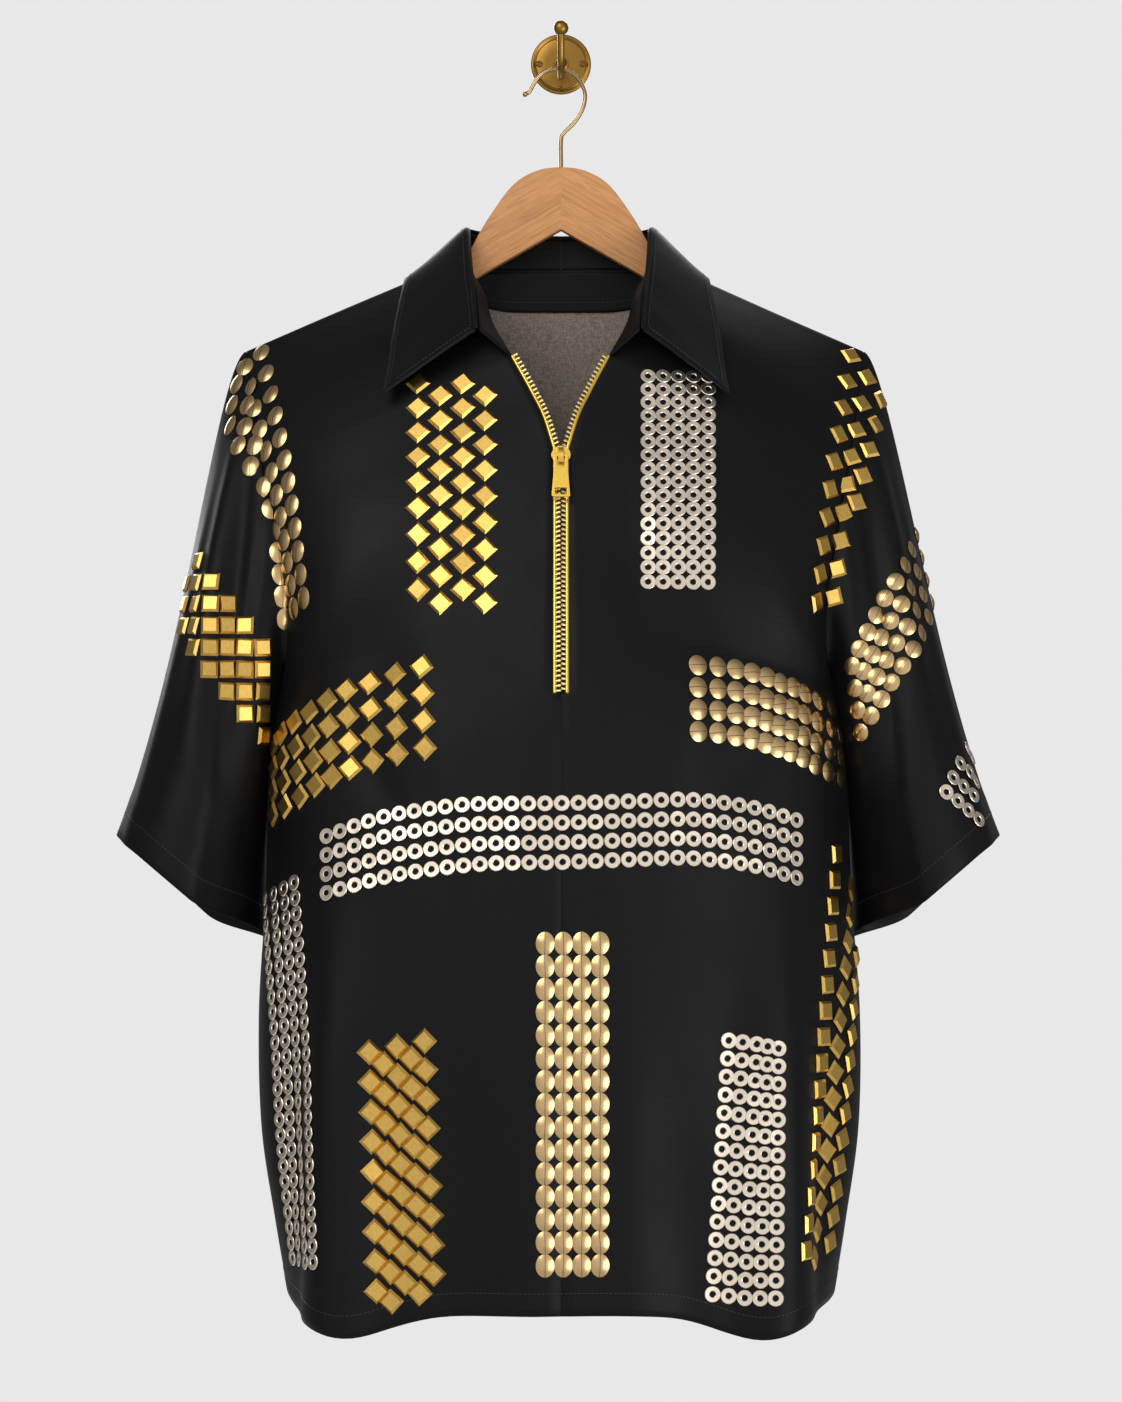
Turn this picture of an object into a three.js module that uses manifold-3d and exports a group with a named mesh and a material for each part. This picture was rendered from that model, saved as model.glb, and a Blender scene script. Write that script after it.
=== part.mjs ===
// Half-zip shirt with stud, disc and ring trim, on a wooden hanger and a brass wall hook.
// Millimetres, +Z up. The origin is the centre of the wall plate's back face, the wall is y = 0,
// the shirt's front faces -Y, and +X is to the right of someone who faces the shirt.
import * as THREE from "three";
import { mergeVertices } from "three/addons/utils/BufferGeometryUtils.js";
import Module from "manifold-3d";

const wasm = await Module();
wasm.setup();

// Driving dimensions
const SEAM_GAP = 0.3;
const CLOTH = 1.6;
const COLLAR_CLOTH = 1.8;
const FACING = 1.0;
const FACING_FRONT = -24;
const TRIM_LIFT = 0.4;
const TRIM_THICK = 1.8;
const PANEL_COLUMNS = 10;
const SLEEVE_STEPS = 10;
const SEAM_CALM = 0.2;
const ZIP_HALF = 5.5;
const ZIP_TOP_ROW = 4;
const ZIP_END_ROW = 10;
const ZIP_END_STEP = 0.03;
const UNDERARM_ROW = 9;
const NECK_BACK_ROW = 3;
const CHAIN_HALF = 2.7;
const CHAIN_RISE = 1.0;
const HANGER_THICK = 12;
const HANGER_Y = -32;
const WIRE_RADIUS = 1.5;
const PLATE_RADIUS = 21.9;
const PLATE_THICK = 3.2;
const ARM_RADIUS = 3.0;
const HANGER_EDGE = 1.5;
const BOSS_RADIUS = 5.2;
const BALL_RADIUS = 5.4;

const table = (columns, rows) =>
  rows.map((row) => Object.fromEntries(columns.map((name, i) => [name, row[i]])));
const point = (x, y, z) => new THREE.Vector3(x, y, z);
const lerp = THREE.MathUtils.lerp;
const radians = THREE.MathUtils.degToRad;

// Panel rows. Each runs from an inner edge (xi, yi, zi: neckline, zip edge or centre line) to an
// outer edge (xo, yo, zo: shoulder tip, armhole or side seam). ri and ro are the curve's reach at
// each end, as a share of the row's length, and turn is its heading at the outer edge, in degrees
// back from straight out. breakIn and breakOut mark a corner in the inner or outer edge.
const ROW_COLUMNS = ["xi", "yi", "zi", "xo", "yo", "zo", "ri", "ro", "turn", "breakIn", "breakOut"];
const FRONT_ROWS = table(ROW_COLUMNS, [
  [77, -40, -150, 222, -40, -213, 0.333, 0.333, 0, 0, 0],
  [64, -60, -160, 219, -53, -230, 0.33, 0.33, 12, 0, 0],
  [54, -85, -178, 215, -69, -251, 0.33, 0.33, 22, 0, 0],
  [48, -102, -200, 211, -85, -274, 0.34, 0.34, 30, 0, 0],
  [35, -118, -224, 205, -101, -304, 0.35, 0.35, 36, 1, 0],
  [21.5, -130, -249.6, 198, -114, -338, 0.36, 0.36, 42, 0, 0],
  [11, -142, -273.4, 192, -122, -368, 0.37, 0.36, 50, 0, 0],
  [0, -159, -318, 187.5, -125, -396, 0.4, 0.35, 60, 0, 0],
  [0, -172, -357, 188.5, -118, -434, 0.45, 0.32, 74, 0, 0],
  [0, -189, -408, 196, -95, -463, 0.49, 0.27, 86, 0, 1],
  [0, -202, -458, 200.5, -103, -497, 0.49, 0.26, 90, 0, 0],
  [0, -209, -520, 203.5, -105, -535, 0.5, 0.26, 90, 0, 0],
  [0, -215.5, -600, 205.5, -105, -603, 0.52, 0.28, 90, 0, 0],
  [0, -220, -680, 210.5, -105, -682, 0.55, 0.3, 90, 0, 0],
  [0, -223, -760, 209, -106, -760, 0.6, 0.33, 90, 0, 0],
  [0, -225, -825, 199.5, -108, -824, 0.66, 0.37, 90, 0, 0],
  [0, -226, -877, 191.4, -110, -873, 0.68, 0.39, 90, 0, 0],
]);
const BACK_ROWS = table(ROW_COLUMNS, [
  [77, -40, -150, 222, -40, -213, 0.333, 0.333, 0, 0, 0],
  [76, -24, -149.8, 220.5, -24, -214, 0.333, 0.333, 0, 0, 0],
  [60, -15.5, -150.5, 215, -17, -236, 0.33, 0.33, 0, 0, 0],
  [0, -12, -151.5, 210, -13.5, -263, 0.35, 0.33, -2, 1, 0],
  [0, -11, -182, 204, -12, -294, 0.35, 0.33, 0, 0, 0],
  [0, -8.5, -240, 199, -12.5, -332, 0.35, 0.33, -4, 0, 0],
  [0, -7.5, -305, 196, -18, -375, 0.4, 0.3, -14, 0, 0],
  [0, -7.5, -370, 196.5, -32, -412, 0.45, 0.28, -32, 0, 0],
  [0, -7.5, -420, 200, -60, -449, 0.5, 0.26, -62, 0, 0],
  [0, -7.5, -463, 196, -95, -463, 0.52, 0.27, -86, 0, 1],
  [0, -7.5, -497, 200.5, -103, -497, 0.53, 0.27, -90, 0, 0],
  [0, -8, -535, 203.5, -105, -535, 0.54, 0.27, -90, 0, 0],
  [0, -8, -603, 205.5, -105, -603, 0.55, 0.28, -90, 0, 0],
  [0, -8, -682, 210.5, -105, -682, 0.56, 0.28, -90, 0, 0],
  [0, -8, -760, 209, -106, -760, 0.56, 0.28, -90, 0, 0],
  [0, -8.5, -824, 199.5, -108, -824, 0.56, 0.28, -90, 0, 0],
  [0, -9, -880, 191.4, -110, -873, 0.56, 0.28, -90, 0, 0],
]);

// Folds of the panels: a soft ridge (rise > 0) or trough (rise < 0) along a line from
// (xTop, zTop) to (xLow, zLow), as wide as wide each way. hem 1 keeps its height to the hem.
const FOLD_COLUMNS = ["xTop", "zTop", "xLow", "zLow", "wide", "rise", "hem"];
const FRONT_FOLDS = table(FOLD_COLUMNS, [
  [-150, -540, -153, -885, 21, 15, 1],
  [146, -540, 149, -885, 21, 14, 1],
  [-181, -640, -184, -885, 11, -6, 1],
  [178, -640, 180, -885, 11, -6, 1],
  [-70, -640, -76, -885, 30, -6, 1],
  [80, -680, 88, -885, 30, -6, 1],
  [-120, -330, -128, -560, 26, -4, 0],
  [125, -330, 122, -560, 26, -4, 0],
]);
const BACK_FOLDS = table(FOLD_COLUMNS, [
  [-150, -500, -156, -885, 30, -7, 1],
  [148, -540, 150, -885, 30, -7, 1],
  [-60, -620, -52, -885, 34, -6, 1],
  [70, -590, 78, -885, 34, -6, 1],
]);
// The hem dips where the front's side folds swing out
const HEM_DIPS = table(["x", "wide", "drop"], [
  [-145, 42, 17],
  [135, 42, 18],
  [15, 70, -1.3],
]);
const HEM_DIP_TOP = -700;
const HEM_DIP_LOW = -877;
// The shirt hangs a little to its left: the shift at each height, full from LEAN_FULL outwards
const LEAN = table(["z", "shift"], [
  [-120, 4.5], [-230, 4.5], [-400, 3], [-560, 2], [-700, 1], [-900, 0],
]);
const LEAN_FULL = 180;

// Sleeve: start and end reach of its lines, at the top, front, underarm and back
const CUFF_CENTRE = point(267, -88, -598);
const CUFF_ACROSS = point(43.7, 0, 38.8);
const CUFF_DEPTH = 72;
const CUFF_TIP = 1.6;
const CUFF_LIFT = 9.4;
// The cuff's inner end tucks in behind the body's side
const CUFF_TUCK = point(-17, 24, 4);
const CUFF_TUCK_START = 0.3;
const SLEEVE_LINES = table(["angle", "outX", "outY", "outZ", "endX", "endY", "endZ"], [
  [0, 20, 0, -8, 46, 0, 115],
  [90, 20, -13, -12, 27, 2, 82],
  [180, 10, 14, -15, -2.5, 0, 50],
  [270, 20, 7, -14, 27, -2, 82],
  [360, 20, 0, -8, 46, 0, 115],
]);
// Sleeve folds, from angle a0 at share s0 of its length to angle a1 at share s1
const SLEEVE_FOLDS = table(["a0", "s0", "a1", "s1", "wide", "rise"], [
  [62, 0.05, 112, 0.75, 20, -7],
  [38, 0.1, 78, 0.8, 14, 4],
  [120, 0.1, 150, 0.95, 18, 4],
  [250, 0.05, 215, 0.8, 20, -6],
  [300, 0.1, 268, 0.85, 18, 4],
]);

// Collar stations from the front corner to the centre back: roll line and outer edge.
// share is the station's place along the neck seam.
const COLLAR_STATIONS = table(["share", "xr", "yr", "zr", "xe", "ye", "ze"], [
  [0, 58, -127, -205, 120.5, -131, -250],
  [0.2, 60, -106, -183, 118, -112, -230],
  [0.4, 62.5, -84, -162, 115.5, -88, -203],
  [0.54, 64.5, -58, -139, 110, -54, -166],
  [0.62, 65.5, -42, -126, 108, -36, -160],
  [0.7, 66, -26, -124, 98, -13.4, -156.6],
  [0.79, 55, -15, -125, 72, -6.5, -166],
  [0.9, 28, -11.5, -127, 36, -4.5, -169],
  [1, 0, -11, -127.8, 0, -4, -170],
]);
// The facing behind the neck, as an outline seen from the front
const FACING_OUTLINE = [-66, -153.5, 66, -153.5, 60, -178, 30, -182, -30, -182, -60, -178];
const STAND_STEPS = 3;
const FALL_STEPS = 5;
const FALL_CREST = 2.2;
const FALL_LIFT = 0.8;
const FALL_MIDDLE = point(0, -60, -260);

// Trim patches, as outlines seen from the front, on the panel or sleeve that carries them
const PATCHES = {
  trim_stud_chest: ["front_left", [-108, -250, -75, -241, -44, -236, -44, -398, -108, -398]],
  trim_ring_chest: ["front_right", [55, -236, 107, -247, 107, -388, 55, -388]],
  trim_stud_waist: ["front_left",
    [-84, -431, -84, -506, -149, -527, -199, -547, -199, -473, -149, -456]],
  trim_dome_waist: ["front_right",
    [87, -433, 87, -494, 150, -508, 192, -523, 192, -466, 150, -448]],
  trim_ring_band: ["front",
    [-159, -550, -110, -536, -54, -529, 0, -530, 88, -526, 162, -540, 162, -590, 88, -577,
      0, -579, -54, -582, -110, -588, -159, -600]],
  trim_ring_side: ["front_left", [-215, -588, -178, -588, -168, -857, -215, -857]],
  trim_stud_hem: ["front_left", [-136, -683, -84, -683, -79, -866, -134, -866]],
  trim_dome_hem: ["front", [-16, -621, 33, -621, 33, -851, -16, -851]],
  trim_ring_hem: ["front_right", [106, -687, 149, -687, 148, -866, 97, -866]],
  trim_stud_side: ["front_right", [184, -563, 215, -563, 215, -848, 163, -848]],
  trim_dome_armhole: ["front_left",
    [-217, -222, -208, -217, -195, -262, -184, -314, -177, -361, -171, -402, -183, -402,
      -193, -340, -206, -275]],
  trim_stud_armhole: ["front_right",
    [217, -222, 208, -217, 195, -262, 184, -314, 177, -361, 171, -402, 183, -402, 193, -340,
      206, -275]],
  trim_stud_sleeve: ["sleeve_left",
    [-250, -356, -228, -391, -215, -405, -203, -422, -203, -455, -210, -472, -212, -491, -226, -479,
      -239, -464, -253, -446, -264, -422, -258, -377]],
  trim_dome_sleeve: ["sleeve_right",
    [243, -354, 257, -394, 259, -414, 245, -436, 224, -471, 207, -495, 203, -480, 203, -444,
      214, -412, 231, -381, 238, -356]],
  trim_ring_sleeve: ["sleeve_right", [261, -527, 280, -488, 287, -491, 297, -526, 289, -547]],
};

// Zip slider and pull tab. The hinge line lies HINGE_OUT in front of the zip.
const ZIP_PLACE = point(0, -151.3, -297);
const ZIP_SLOPE = 19.5;
const HINGE_OUT = 5.3;
const SLIDER = {
  headRadius: 6.6, headZ: 1.2, waist: 4.3, low: 9, front: -3.4, thick: 1.6,
  backFace: 3.4, backThick: 1.2, backShare: 0.9, postZ: 5.6, postWide: 1.3, postHigh: 1.6,
};
const BAIL = { reach: 5.9, rise: 2.75, thick: 1.2, wide: 3.6 };
// window and hole: half width, top and bottom
const TAB = {
  top: 1, low: 31, topHalf: 5, lowHalf: 6.4, flare: 12, thick: 1.5, corner: 0.8,
  window: [2.8, -1, -7.6], hole: [4, -24.4, -29.2],
};

// Hanger outline, right half: along the top, then back under the arm
const HANGER_TOP = table(["x", "z"], [
  [0.15, -80], [17, -82.5], [34, -92.4], [50.5, -114], [63.5, -136], [69.5, -149], [77, -157.5],
  [90, -161.2], [112, -170.9], [160, -191.8], [201, -209.7], [207, -216.5],
]);
const HANGER_LOW = table(["x", "z"], [
  [206, -230.5], [202, -233.5], [112, -190.5], [61.3, -160], [0.15, -125],
]);
const WIRE_LINE = table(["x", "z"], [
  [0, -79.6], [0, -60], [2, -54.7], [9.4, -47.4], [15.1, -38.3], [17.3, -30], [16.5, -23.4],
  [12.7, -16], [6.9, -11], [-0.6, -9], [-8, -9.4], [-14.6, -12.7], [-19.6, -19.3], [-22.9, -25.1],
  [-26, -26.7],
]);
const ARM_LINE = table(["y", "z"], [
  [-6.2, 0.4], [-16, -6.5], [-31, -14.2], [-42, -12], [-50, -4], [-54, 8], [-55, 17],
]);
const SCREWS = table(["name", "x", "z", "radius"], [
  ["screw_left", -15.9, 0, 2.4],
  ["screw_right", 15.9, 0, 2.4],
  ["screw_low", 0, -17.4, 1.3],
]);

// Smooth value of one table column at a fractional row, with a corner where the rows have one
function column(rows, key, r, corner) {
  const i = Math.min(Math.floor(r), rows.length - 2);
  const t = r - i;
  const a = rows[i][key];
  const b = rows[i + 1][key];
  const startsHere = i === 0 || rows[i][corner];
  const endsHere = i + 2 >= rows.length || rows[i + 1][corner];
  const before = startsHere ? 2 * a - b : rows[i - 1][key];
  const after = endsHere ? 2 * b - a : rows[i + 2][key];
  const bend = 2 * before - 5 * a + 4 * b - after;
  const swing = 3 * a - before - 3 * b + after;
  return a + 0.5 * t * (b - before + t * (bend + t * swing));
}

const bezier = (a, b, c, d, t) => {
  const s = 1 - t;
  return s * s * s * a + 3 * s * s * t * b + 3 * s * t * t * c + t * t * t * d;
};

// A panel's smooth base surface, right half: row r, share t from the inner to the outer edge
function panelBase(rows, r, t) {
  const value = (key, corner) => column(rows, key, r, corner);
  const [xi, yi, zi] = ["xi", "yi", "zi"].map((key) => value(key, "breakIn"));
  const [xo, yo, zo] = ["xo", "yo", "zo"].map((key) => value(key, "breakOut"));
  const long = Math.hypot(xo - xi, yo - yi);
  const turn = radians(value("turn"));
  const reachIn = value("ri") * long;
  const reachOut = value("ro") * long;
  return point(
    bezier(xi, xi + reachIn, xo - reachOut * Math.cos(turn), xo, t),
    bezier(yi, yi, yo - reachOut * Math.sin(turn), yo, t),
    bezier(zi, lerp(zi, zo, 1 / 3), lerp(zi, zo, 2 / 3), zo, t),
  );
}

const smooth = (t) => {
  const s = THREE.MathUtils.clamp(t, 0, 1);
  return s * s * (3 - 2 * s);
};

// Height of the folds at a place on a panel
function foldRise(folds, x, z) {
  let rise = 0;
  for (const fold of folds) {
    const along = (fold.zTop - z) / (fold.zTop - fold.zLow);
    if (along <= 0) continue;
    const across = (x - lerp(fold.xTop, fold.xLow, along)) / fold.wide;
    const fade = fold.hem ? smooth(along * 1.6) : Math.sin(Math.PI * Math.min(along, 1));
    rise += fold.rise * fade * Math.exp(-across * across);
  }
  return rise;
}

// A panel's point on side -1 (left) or 1 (right), with its folds and hem dips
function panelPoint(rows, folds, side, r, t) {
  const base = panelBase(rows, r, t);
  const step = 0.01;
  const back = t > 0.5 ? -step : step;
  const up = r > 1 ? -step : step;
  const across = panelBase(rows, r, t + back).sub(base).multiplyScalar(Math.sign(back));
  const down = panelBase(rows, r + up, t).sub(base).multiplyScalar(Math.sign(up));
  const normal = across.cross(down).normalize();
  if (rows === FRONT_ROWS) normal.negate();
  const fade = smooth((1 - t) / SEAM_CALM);
  base.addScaledVector(normal, fade * foldRise(folds, side * base.x, base.z));
  const dip = fade * smooth((HEM_DIP_TOP - base.z) / (HEM_DIP_TOP - HEM_DIP_LOW));
  for (const wave of rows === FRONT_ROWS ? HEM_DIPS : []) {
    const away = (side * base.x - wave.x) / wave.wide;
    base.z -= wave.drop * dip * Math.exp(-away * away);
  }
  base.x *= side;
  return base;
}

// Rows at which the panels are cut into facets
const PANEL_STEPS = [
  0, 0.5, 1, 1.6, 2.3, 3, 3.5, 4, 4.7, 5.5, 6.2, 7, 7.7, 8.4, UNDERARM_ROW,
  9.5, ZIP_END_ROW, ZIP_END_ROW + ZIP_END_STEP, 10.6, 11.2, 12, 12.6, 13.3, 14, 14.5, 15, 15.5, 16,
];

// Share of a row at which the right half reaches x
function shareAtX(rows, r, x) {
  if (panelBase(rows, r, 0).x >= x) return 0;
  let low = 0;
  let high = 0.5;
  for (let i = 0; i < 40; i++) {
    const middle = (low + high) / 2;
    if (panelBase(rows, r, middle).x < x) low = middle;
    else high = middle;
  }
  return high;
}

// A point moved by the shirt's lean
function leaned(place) {
  const next = Math.max(1, LEAN.findIndex((row) => row.z <= place.z));
  const [above, below] = [LEAN[next - 1], LEAN[next]];
  const down = THREE.MathUtils.clamp((above.z - place.z) / (above.z - below.z), 0, 1);
  place.x -= lerp(above.shift, below.shift, down) * smooth(Math.abs(place.x) / LEAN_FULL);
  return place;
}

// Outer points of a front half or a back half, as a grid of rows from the inner to the outer edge
function panelGrid(rows, folds, side) {
  return PANEL_STEPS.map((r) => {
    let start = 0;
    if (rows === FRONT_ROWS) {
      const clear = r > ZIP_END_ROW ? SEAM_GAP / 2 : ZIP_HALF + SEAM_GAP;
      start = shareAtX(rows, r, clear);
    }
    return Array.from({ length: PANEL_COLUMNS + 1 }, (_, j) =>
      panelPoint(rows, folds, side, r, lerp(start, 1, j / PANEL_COLUMNS)));
  });
}

// Grid normals that point away from an inside point
function gridNormals(grid, inside, wraps = false) {
  const rows = grid.length;
  const cols = grid[0].length;
  const at = (i, j) => grid[i][wraps ? (j + cols) % cols : THREE.MathUtils.clamp(j, 0, cols - 1)];
  let sense = 0;
  const normals = grid.map((row, i) => row.map((place, j) => {
    const down = at(Math.min(i + 1, rows - 1), j).clone().sub(at(Math.max(i - 1, 0), j));
    const along = at(i, j + 1).clone().sub(at(i, j - 1));
    const normal = down.cross(along).normalize();
    sense += normal.dot(place.clone().sub(inside));
    return normal;
  }));
  if (sense < 0) normals.flat().forEach((normal) => normal.negate());
  return normals;
}

// A loose surface: grids of points, each with the way in to its other face
class Surface {
  constructor() {
    this.points = [];
    this.inward = [];
    this.triangles = [];
    this.index = new Map();
  }

  vertex(place, inward) {
    const key = [place.x, place.y, place.z].map((value) => Math.round(value * 1e4)).join();
    if (!this.index.has(key)) {
      this.index.set(key, this.points.length);
      this.points.push(place);
      this.inward.push(inward);
    }
    return this.index.get(key);
  }

  addGrid(grid, inward, { wraps = false, flip = false } = {}) {
    const cols = grid[0].length;
    const ids = grid.map((row, i) => row.map((place, j) => this.vertex(place, inward[i][j])));
    for (let i = 0; i + 1 < grid.length; i++) {
      for (let j = 0; j + 1 < cols + (wraps ? 1 : 0); j++) {
        const k = (j + 1) % cols;
        const [a, b, c, d] = [ids[i][j], ids[i][k], ids[i + 1][k], ids[i + 1][j]];
        const pair = [[a, b, c], [a, c, d]];
        for (const triangle of pair) {
          if (new Set(triangle).size < 3) continue;
          this.triangles.push(flip ? triangle.reverse() : triangle);
        }
      }
    }
    return this;
  }

  // A closed wall between the points moved in by near and by far
  wall(near, far) {
    const count = this.points.length;
    const moved = (by) => this.points.map((place, i) => place.clone().addScaledVector(this.inward[i], by));
    const all = [...moved(near), ...moved(far)];
    const faces = [];
    const edges = new Map();
    for (const [a, b, c] of this.triangles) {
      faces.push([a, b, c], [c + count, b + count, a + count]);
      for (const [from, to] of [[a, b], [b, c], [c, a]]) edges.set(`${from},${to}`, [from, to]);
    }
    for (const [from, to] of edges.values()) {
      if (edges.has(`${to},${from}`)) continue;
      faces.push([to, from, from + count], [to, from + count, to + count]);
    }
    return solid(all, faces);
  }
}

// A closed geometry from points and triangles, faces out
function solid(points, faces) {
  let volume = 0;
  for (const [a, b, c] of faces) volume += points[a].dot(points[b].clone().cross(points[c]));
  const geometry = new THREE.BufferGeometry();
  geometry.setAttribute("position", new THREE.Float32BufferAttribute(
    points.flatMap((place) => place.toArray()), 3));
  geometry.setIndex(faces.flatMap((face) => (volume < 0 ? [...face].reverse() : face)));
  return geometry;
}

function toManifold(geometry) {
  const plain = geometry.clone();
  for (const name of Object.keys(plain.attributes)) {
    if (name !== "position") plain.deleteAttribute(name);
  }
  const merged = mergeVertices(plain, 1e-4);
  return new wasm.Manifold(new wasm.Mesh({
    numProp: 3,
    vertProperties: new Float32Array(merged.attributes.position.array),
    triVerts: new Uint32Array(merged.index.array),
  }));
}

function fromManifold(manifold) {
  const mesh = manifold.getMesh();
  const geometry = new THREE.BufferGeometry();
  geometry.setAttribute("position", new THREE.BufferAttribute(mesh.vertProperties, 3));
  geometry.setIndex(new THREE.BufferAttribute(mesh.triVerts, 1));
  return geometry;
}

const join = (...geometries) => fromManifold(
  geometries.map(toManifold).reduce((whole, piece) => whole.add(piece)));

// Materials
const finish = (color, roughness, metalness) =>
  new THREE.MeshStandardMaterial({ color, roughness, metalness });
const satin = finish(0x1b1b1d, 0.42, 0);
const gold = finish(0xc8a24c, 0.28, 1);
const champagne = finish(0xb79a6c, 0.3, 1);
const silver = finish(0xd6cbb8, 0.3, 1);
const beech = finish(0xcd945f, 0.55, 0);
const brass = finish(0xb08a48, 0.32, 1);
const steel = finish(0xa89880, 0.25, 1);

const shirt = new THREE.Group();
function add(name, geometry, material, parent = shirt) {
  const mesh = new THREE.Mesh(geometry, material);
  mesh.name = name;
  parent.add(mesh);
  return mesh;
}

// Panel grids and normals
const BODY_MIDDLE = point(0, -105, -480);
const grids = {
  front_left: panelGrid(FRONT_ROWS, FRONT_FOLDS, -1),
  front_right: panelGrid(FRONT_ROWS, FRONT_FOLDS, 1),
  back_left: panelGrid(BACK_ROWS, BACK_FOLDS, -1),
  back_right: panelGrid(BACK_ROWS, BACK_FOLDS, 1),
};

// Sleeves: a ring of points at the armhole, from the shoulder tip down the front and up the back
const ARMHOLE_STEPS = PANEL_STEPS.indexOf(UNDERARM_ROW);

function armholeRing(side) {
  const front = grids[side < 0 ? "front_left" : "front_right"];
  const back = grids[side < 0 ? "back_left" : "back_right"];
  const ring = [];
  for (let i = 0; i <= ARMHOLE_STEPS; i++) ring.push(front[i].at(-1).clone());
  for (let i = ARMHOLE_STEPS - 1; i > 0; i--) ring.push(back[i].at(-1).clone());
  return ring;
}

// Angle of each armhole point: 0 at the top, 180 at the underarm, by its share of the way round
function ringAngles(ring) {
  const half = ARMHOLE_STEPS;
  const closed = [...ring, ring[0]];
  const walk = [0];
  for (let i = 1; i < closed.length; i++) walk.push(walk[i - 1] + closed[i].distanceTo(closed[i - 1]));
  return ring.map((_, i) => (i <= half
    ? (180 * walk[i]) / walk[half]
    : 180 + (180 * (walk[i] - walk[half])) / (walk.at(-1) - walk[half])));
}

// Value of a sleeve line's column at an angle
function sleeveLine(key, angle) {
  const i = Math.min(Math.floor(angle / 90), 3);
  const t = (1 - Math.cos(Math.PI * (angle / 90 - i))) / 2;
  return lerp(SLEEVE_LINES[i][key], SLEEVE_LINES[i + 1][key], t);
}

function cuffPoint(angle) {
  const c = Math.cos(radians(angle));
  const s = Math.sin(radians(angle));
  return CUFF_CENTRE.clone().addScaledVector(CUFF_ACROSS, c)
    .add(point(0, -CUFF_DEPTH * s, s * (CUFF_LIFT - CUFF_TIP * c)))
    .addScaledVector(CUFF_TUCK, smooth((-c - CUFF_TUCK_START) / (1 - CUFF_TUCK_START)));
}

function sleeveFold(angle, share) {
  let rise = 0;
  for (const fold of SLEEVE_FOLDS) {
    const along = (share - fold.s0) / (fold.s1 - fold.s0);
    if (along <= 0 || along >= 1) continue;
    const across = (angle - lerp(fold.a0, fold.a1, along)) / fold.wide;
    rise += fold.rise * Math.sin(Math.PI * along) * Math.exp(-across * across);
  }
  return rise;
}

const sleeveMiddle = (side) => point(side * 235, -80, -430);

function sleeveGrid(side) {
  const ring = armholeRing(side);
  const angles = ringAngles(ring);
  const grid = [];
  for (let step = 0; step <= SLEEVE_STEPS; step++) {
    const t = step / SLEEVE_STEPS;
    grid.push(ring.map((start, k) => {
      const angle = angles[k];
      const end = cuffPoint(angle);
      const from = [side * start.x, start.y, start.z];
      const out = ["outX", "outY", "outZ"].map((key) => sleeveLine(key, angle));
      const back = ["endX", "endY", "endZ"].map((key) => sleeveLine(key, angle));
      const to = end.toArray();
      const place = [0, 1, 2].map((axis) => {
        const sign = axis === 2 ? 1 : -1;
        return bezier(from[axis], from[axis] + out[axis], to[axis] + sign * back[axis], to[axis], t);
      });
      return point(side * place[0], place[1], place[2]);
    }));
  }
  const normals = gridNormals(grid, sleeveMiddle(side), true);
  return grid.map((row, i) => row.map((place, k) =>
    place.clone().addScaledVector(normals[i][k], sleeveFold(angles[k], i / SLEEVE_STEPS))));
}

grids.sleeve_left = sleeveGrid(-1);
grids.sleeve_right = sleeveGrid(1);

Object.values(grids).flat(2).forEach(leaned);

// The way in from every outer point to the cloth's other face
const inward = {};
for (const [name, grid] of Object.entries(grids)) {
  const wraps = name.startsWith("sleeve");
  const middle = wraps ? sleeveMiddle(name.endsWith("left") ? -1 : 1) : BODY_MIDDLE;
  inward[name] = gridNormals(grid, middle, wraps);
  inward[name].flat().forEach((normal) => normal.negate());
}
// The back's halves are one cloth: they share the points of its middle, level from side to side
PANEL_STEPS.forEach((r, i) => {
  if (r < NECK_BACK_ROW) return;
  inward.back_right[i][0].setX(0).normalize();
  grids.back_left[i][0] = grids.back_right[i][0];
  inward.back_left[i][0] = inward.back_right[i][0];
});

// Cloths that meet at a seam share the way in there, unless they meet at a sharp angle
const SHARP = Math.cos(radians(100));
function shareWay(...ways) {
  if (ways[0].dot(ways.at(-1)) < SHARP) return;
  const shared = point(0, 0, 0);
  for (const way of ways) shared.add(way);
  shared.normalize();
  for (const way of ways) way.copy(shared);
}
// Half the seam gap, taken back along the cloth from its edge
const pulled = [];
function pullBack(edge, next) {
  pulled.push([edge, next.clone().sub(edge).normalize().multiplyScalar(SEAM_GAP / 2)]);
}

for (const hand of ["left", "right"]) {
  const [front, back, sleeve] = [`front_${hand}`, `back_${hand}`, `sleeve_${hand}`];
  const rows = PANEL_STEPS.length;
  const last = PANEL_COLUMNS;
  const ringSize = grids[sleeve][0].length;
  shareWay(inward[front][0][last], inward[back][0][last], inward[sleeve][0][0]);
  for (let j = 0; j <= last; j++) {
    if (j < last) shareWay(inward[front][0][j], inward[back][0][j]);
    pullBack(grids[front][0][j], grids[front][1][j]);
    pullBack(grids[back][0][j], grids[back][1][j]);
  }
  for (let i = ARMHOLE_STEPS; i < rows; i++) {
    shareWay(inward[front][i][last], inward[back][i][last]);
  }
  for (let i = 1; i < ARMHOLE_STEPS; i++) {
    shareWay(inward[front][i][last], inward[sleeve][0][i]);
    shareWay(inward[back][i][last], inward[sleeve][0][ringSize - i]);
  }
  for (let i = 0; i < rows; i++) {
    pullBack(grids[front][i][last], grids[front][i][last - 1]);
    pullBack(grids[back][i][last], grids[back][i][last - 1]);
  }
  for (let k = 0; k < ringSize; k++) pullBack(grids[sleeve][0][k], grids[sleeve][1][k]);
}
for (const [edge, move] of pulled) edge.add(move);

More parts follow.
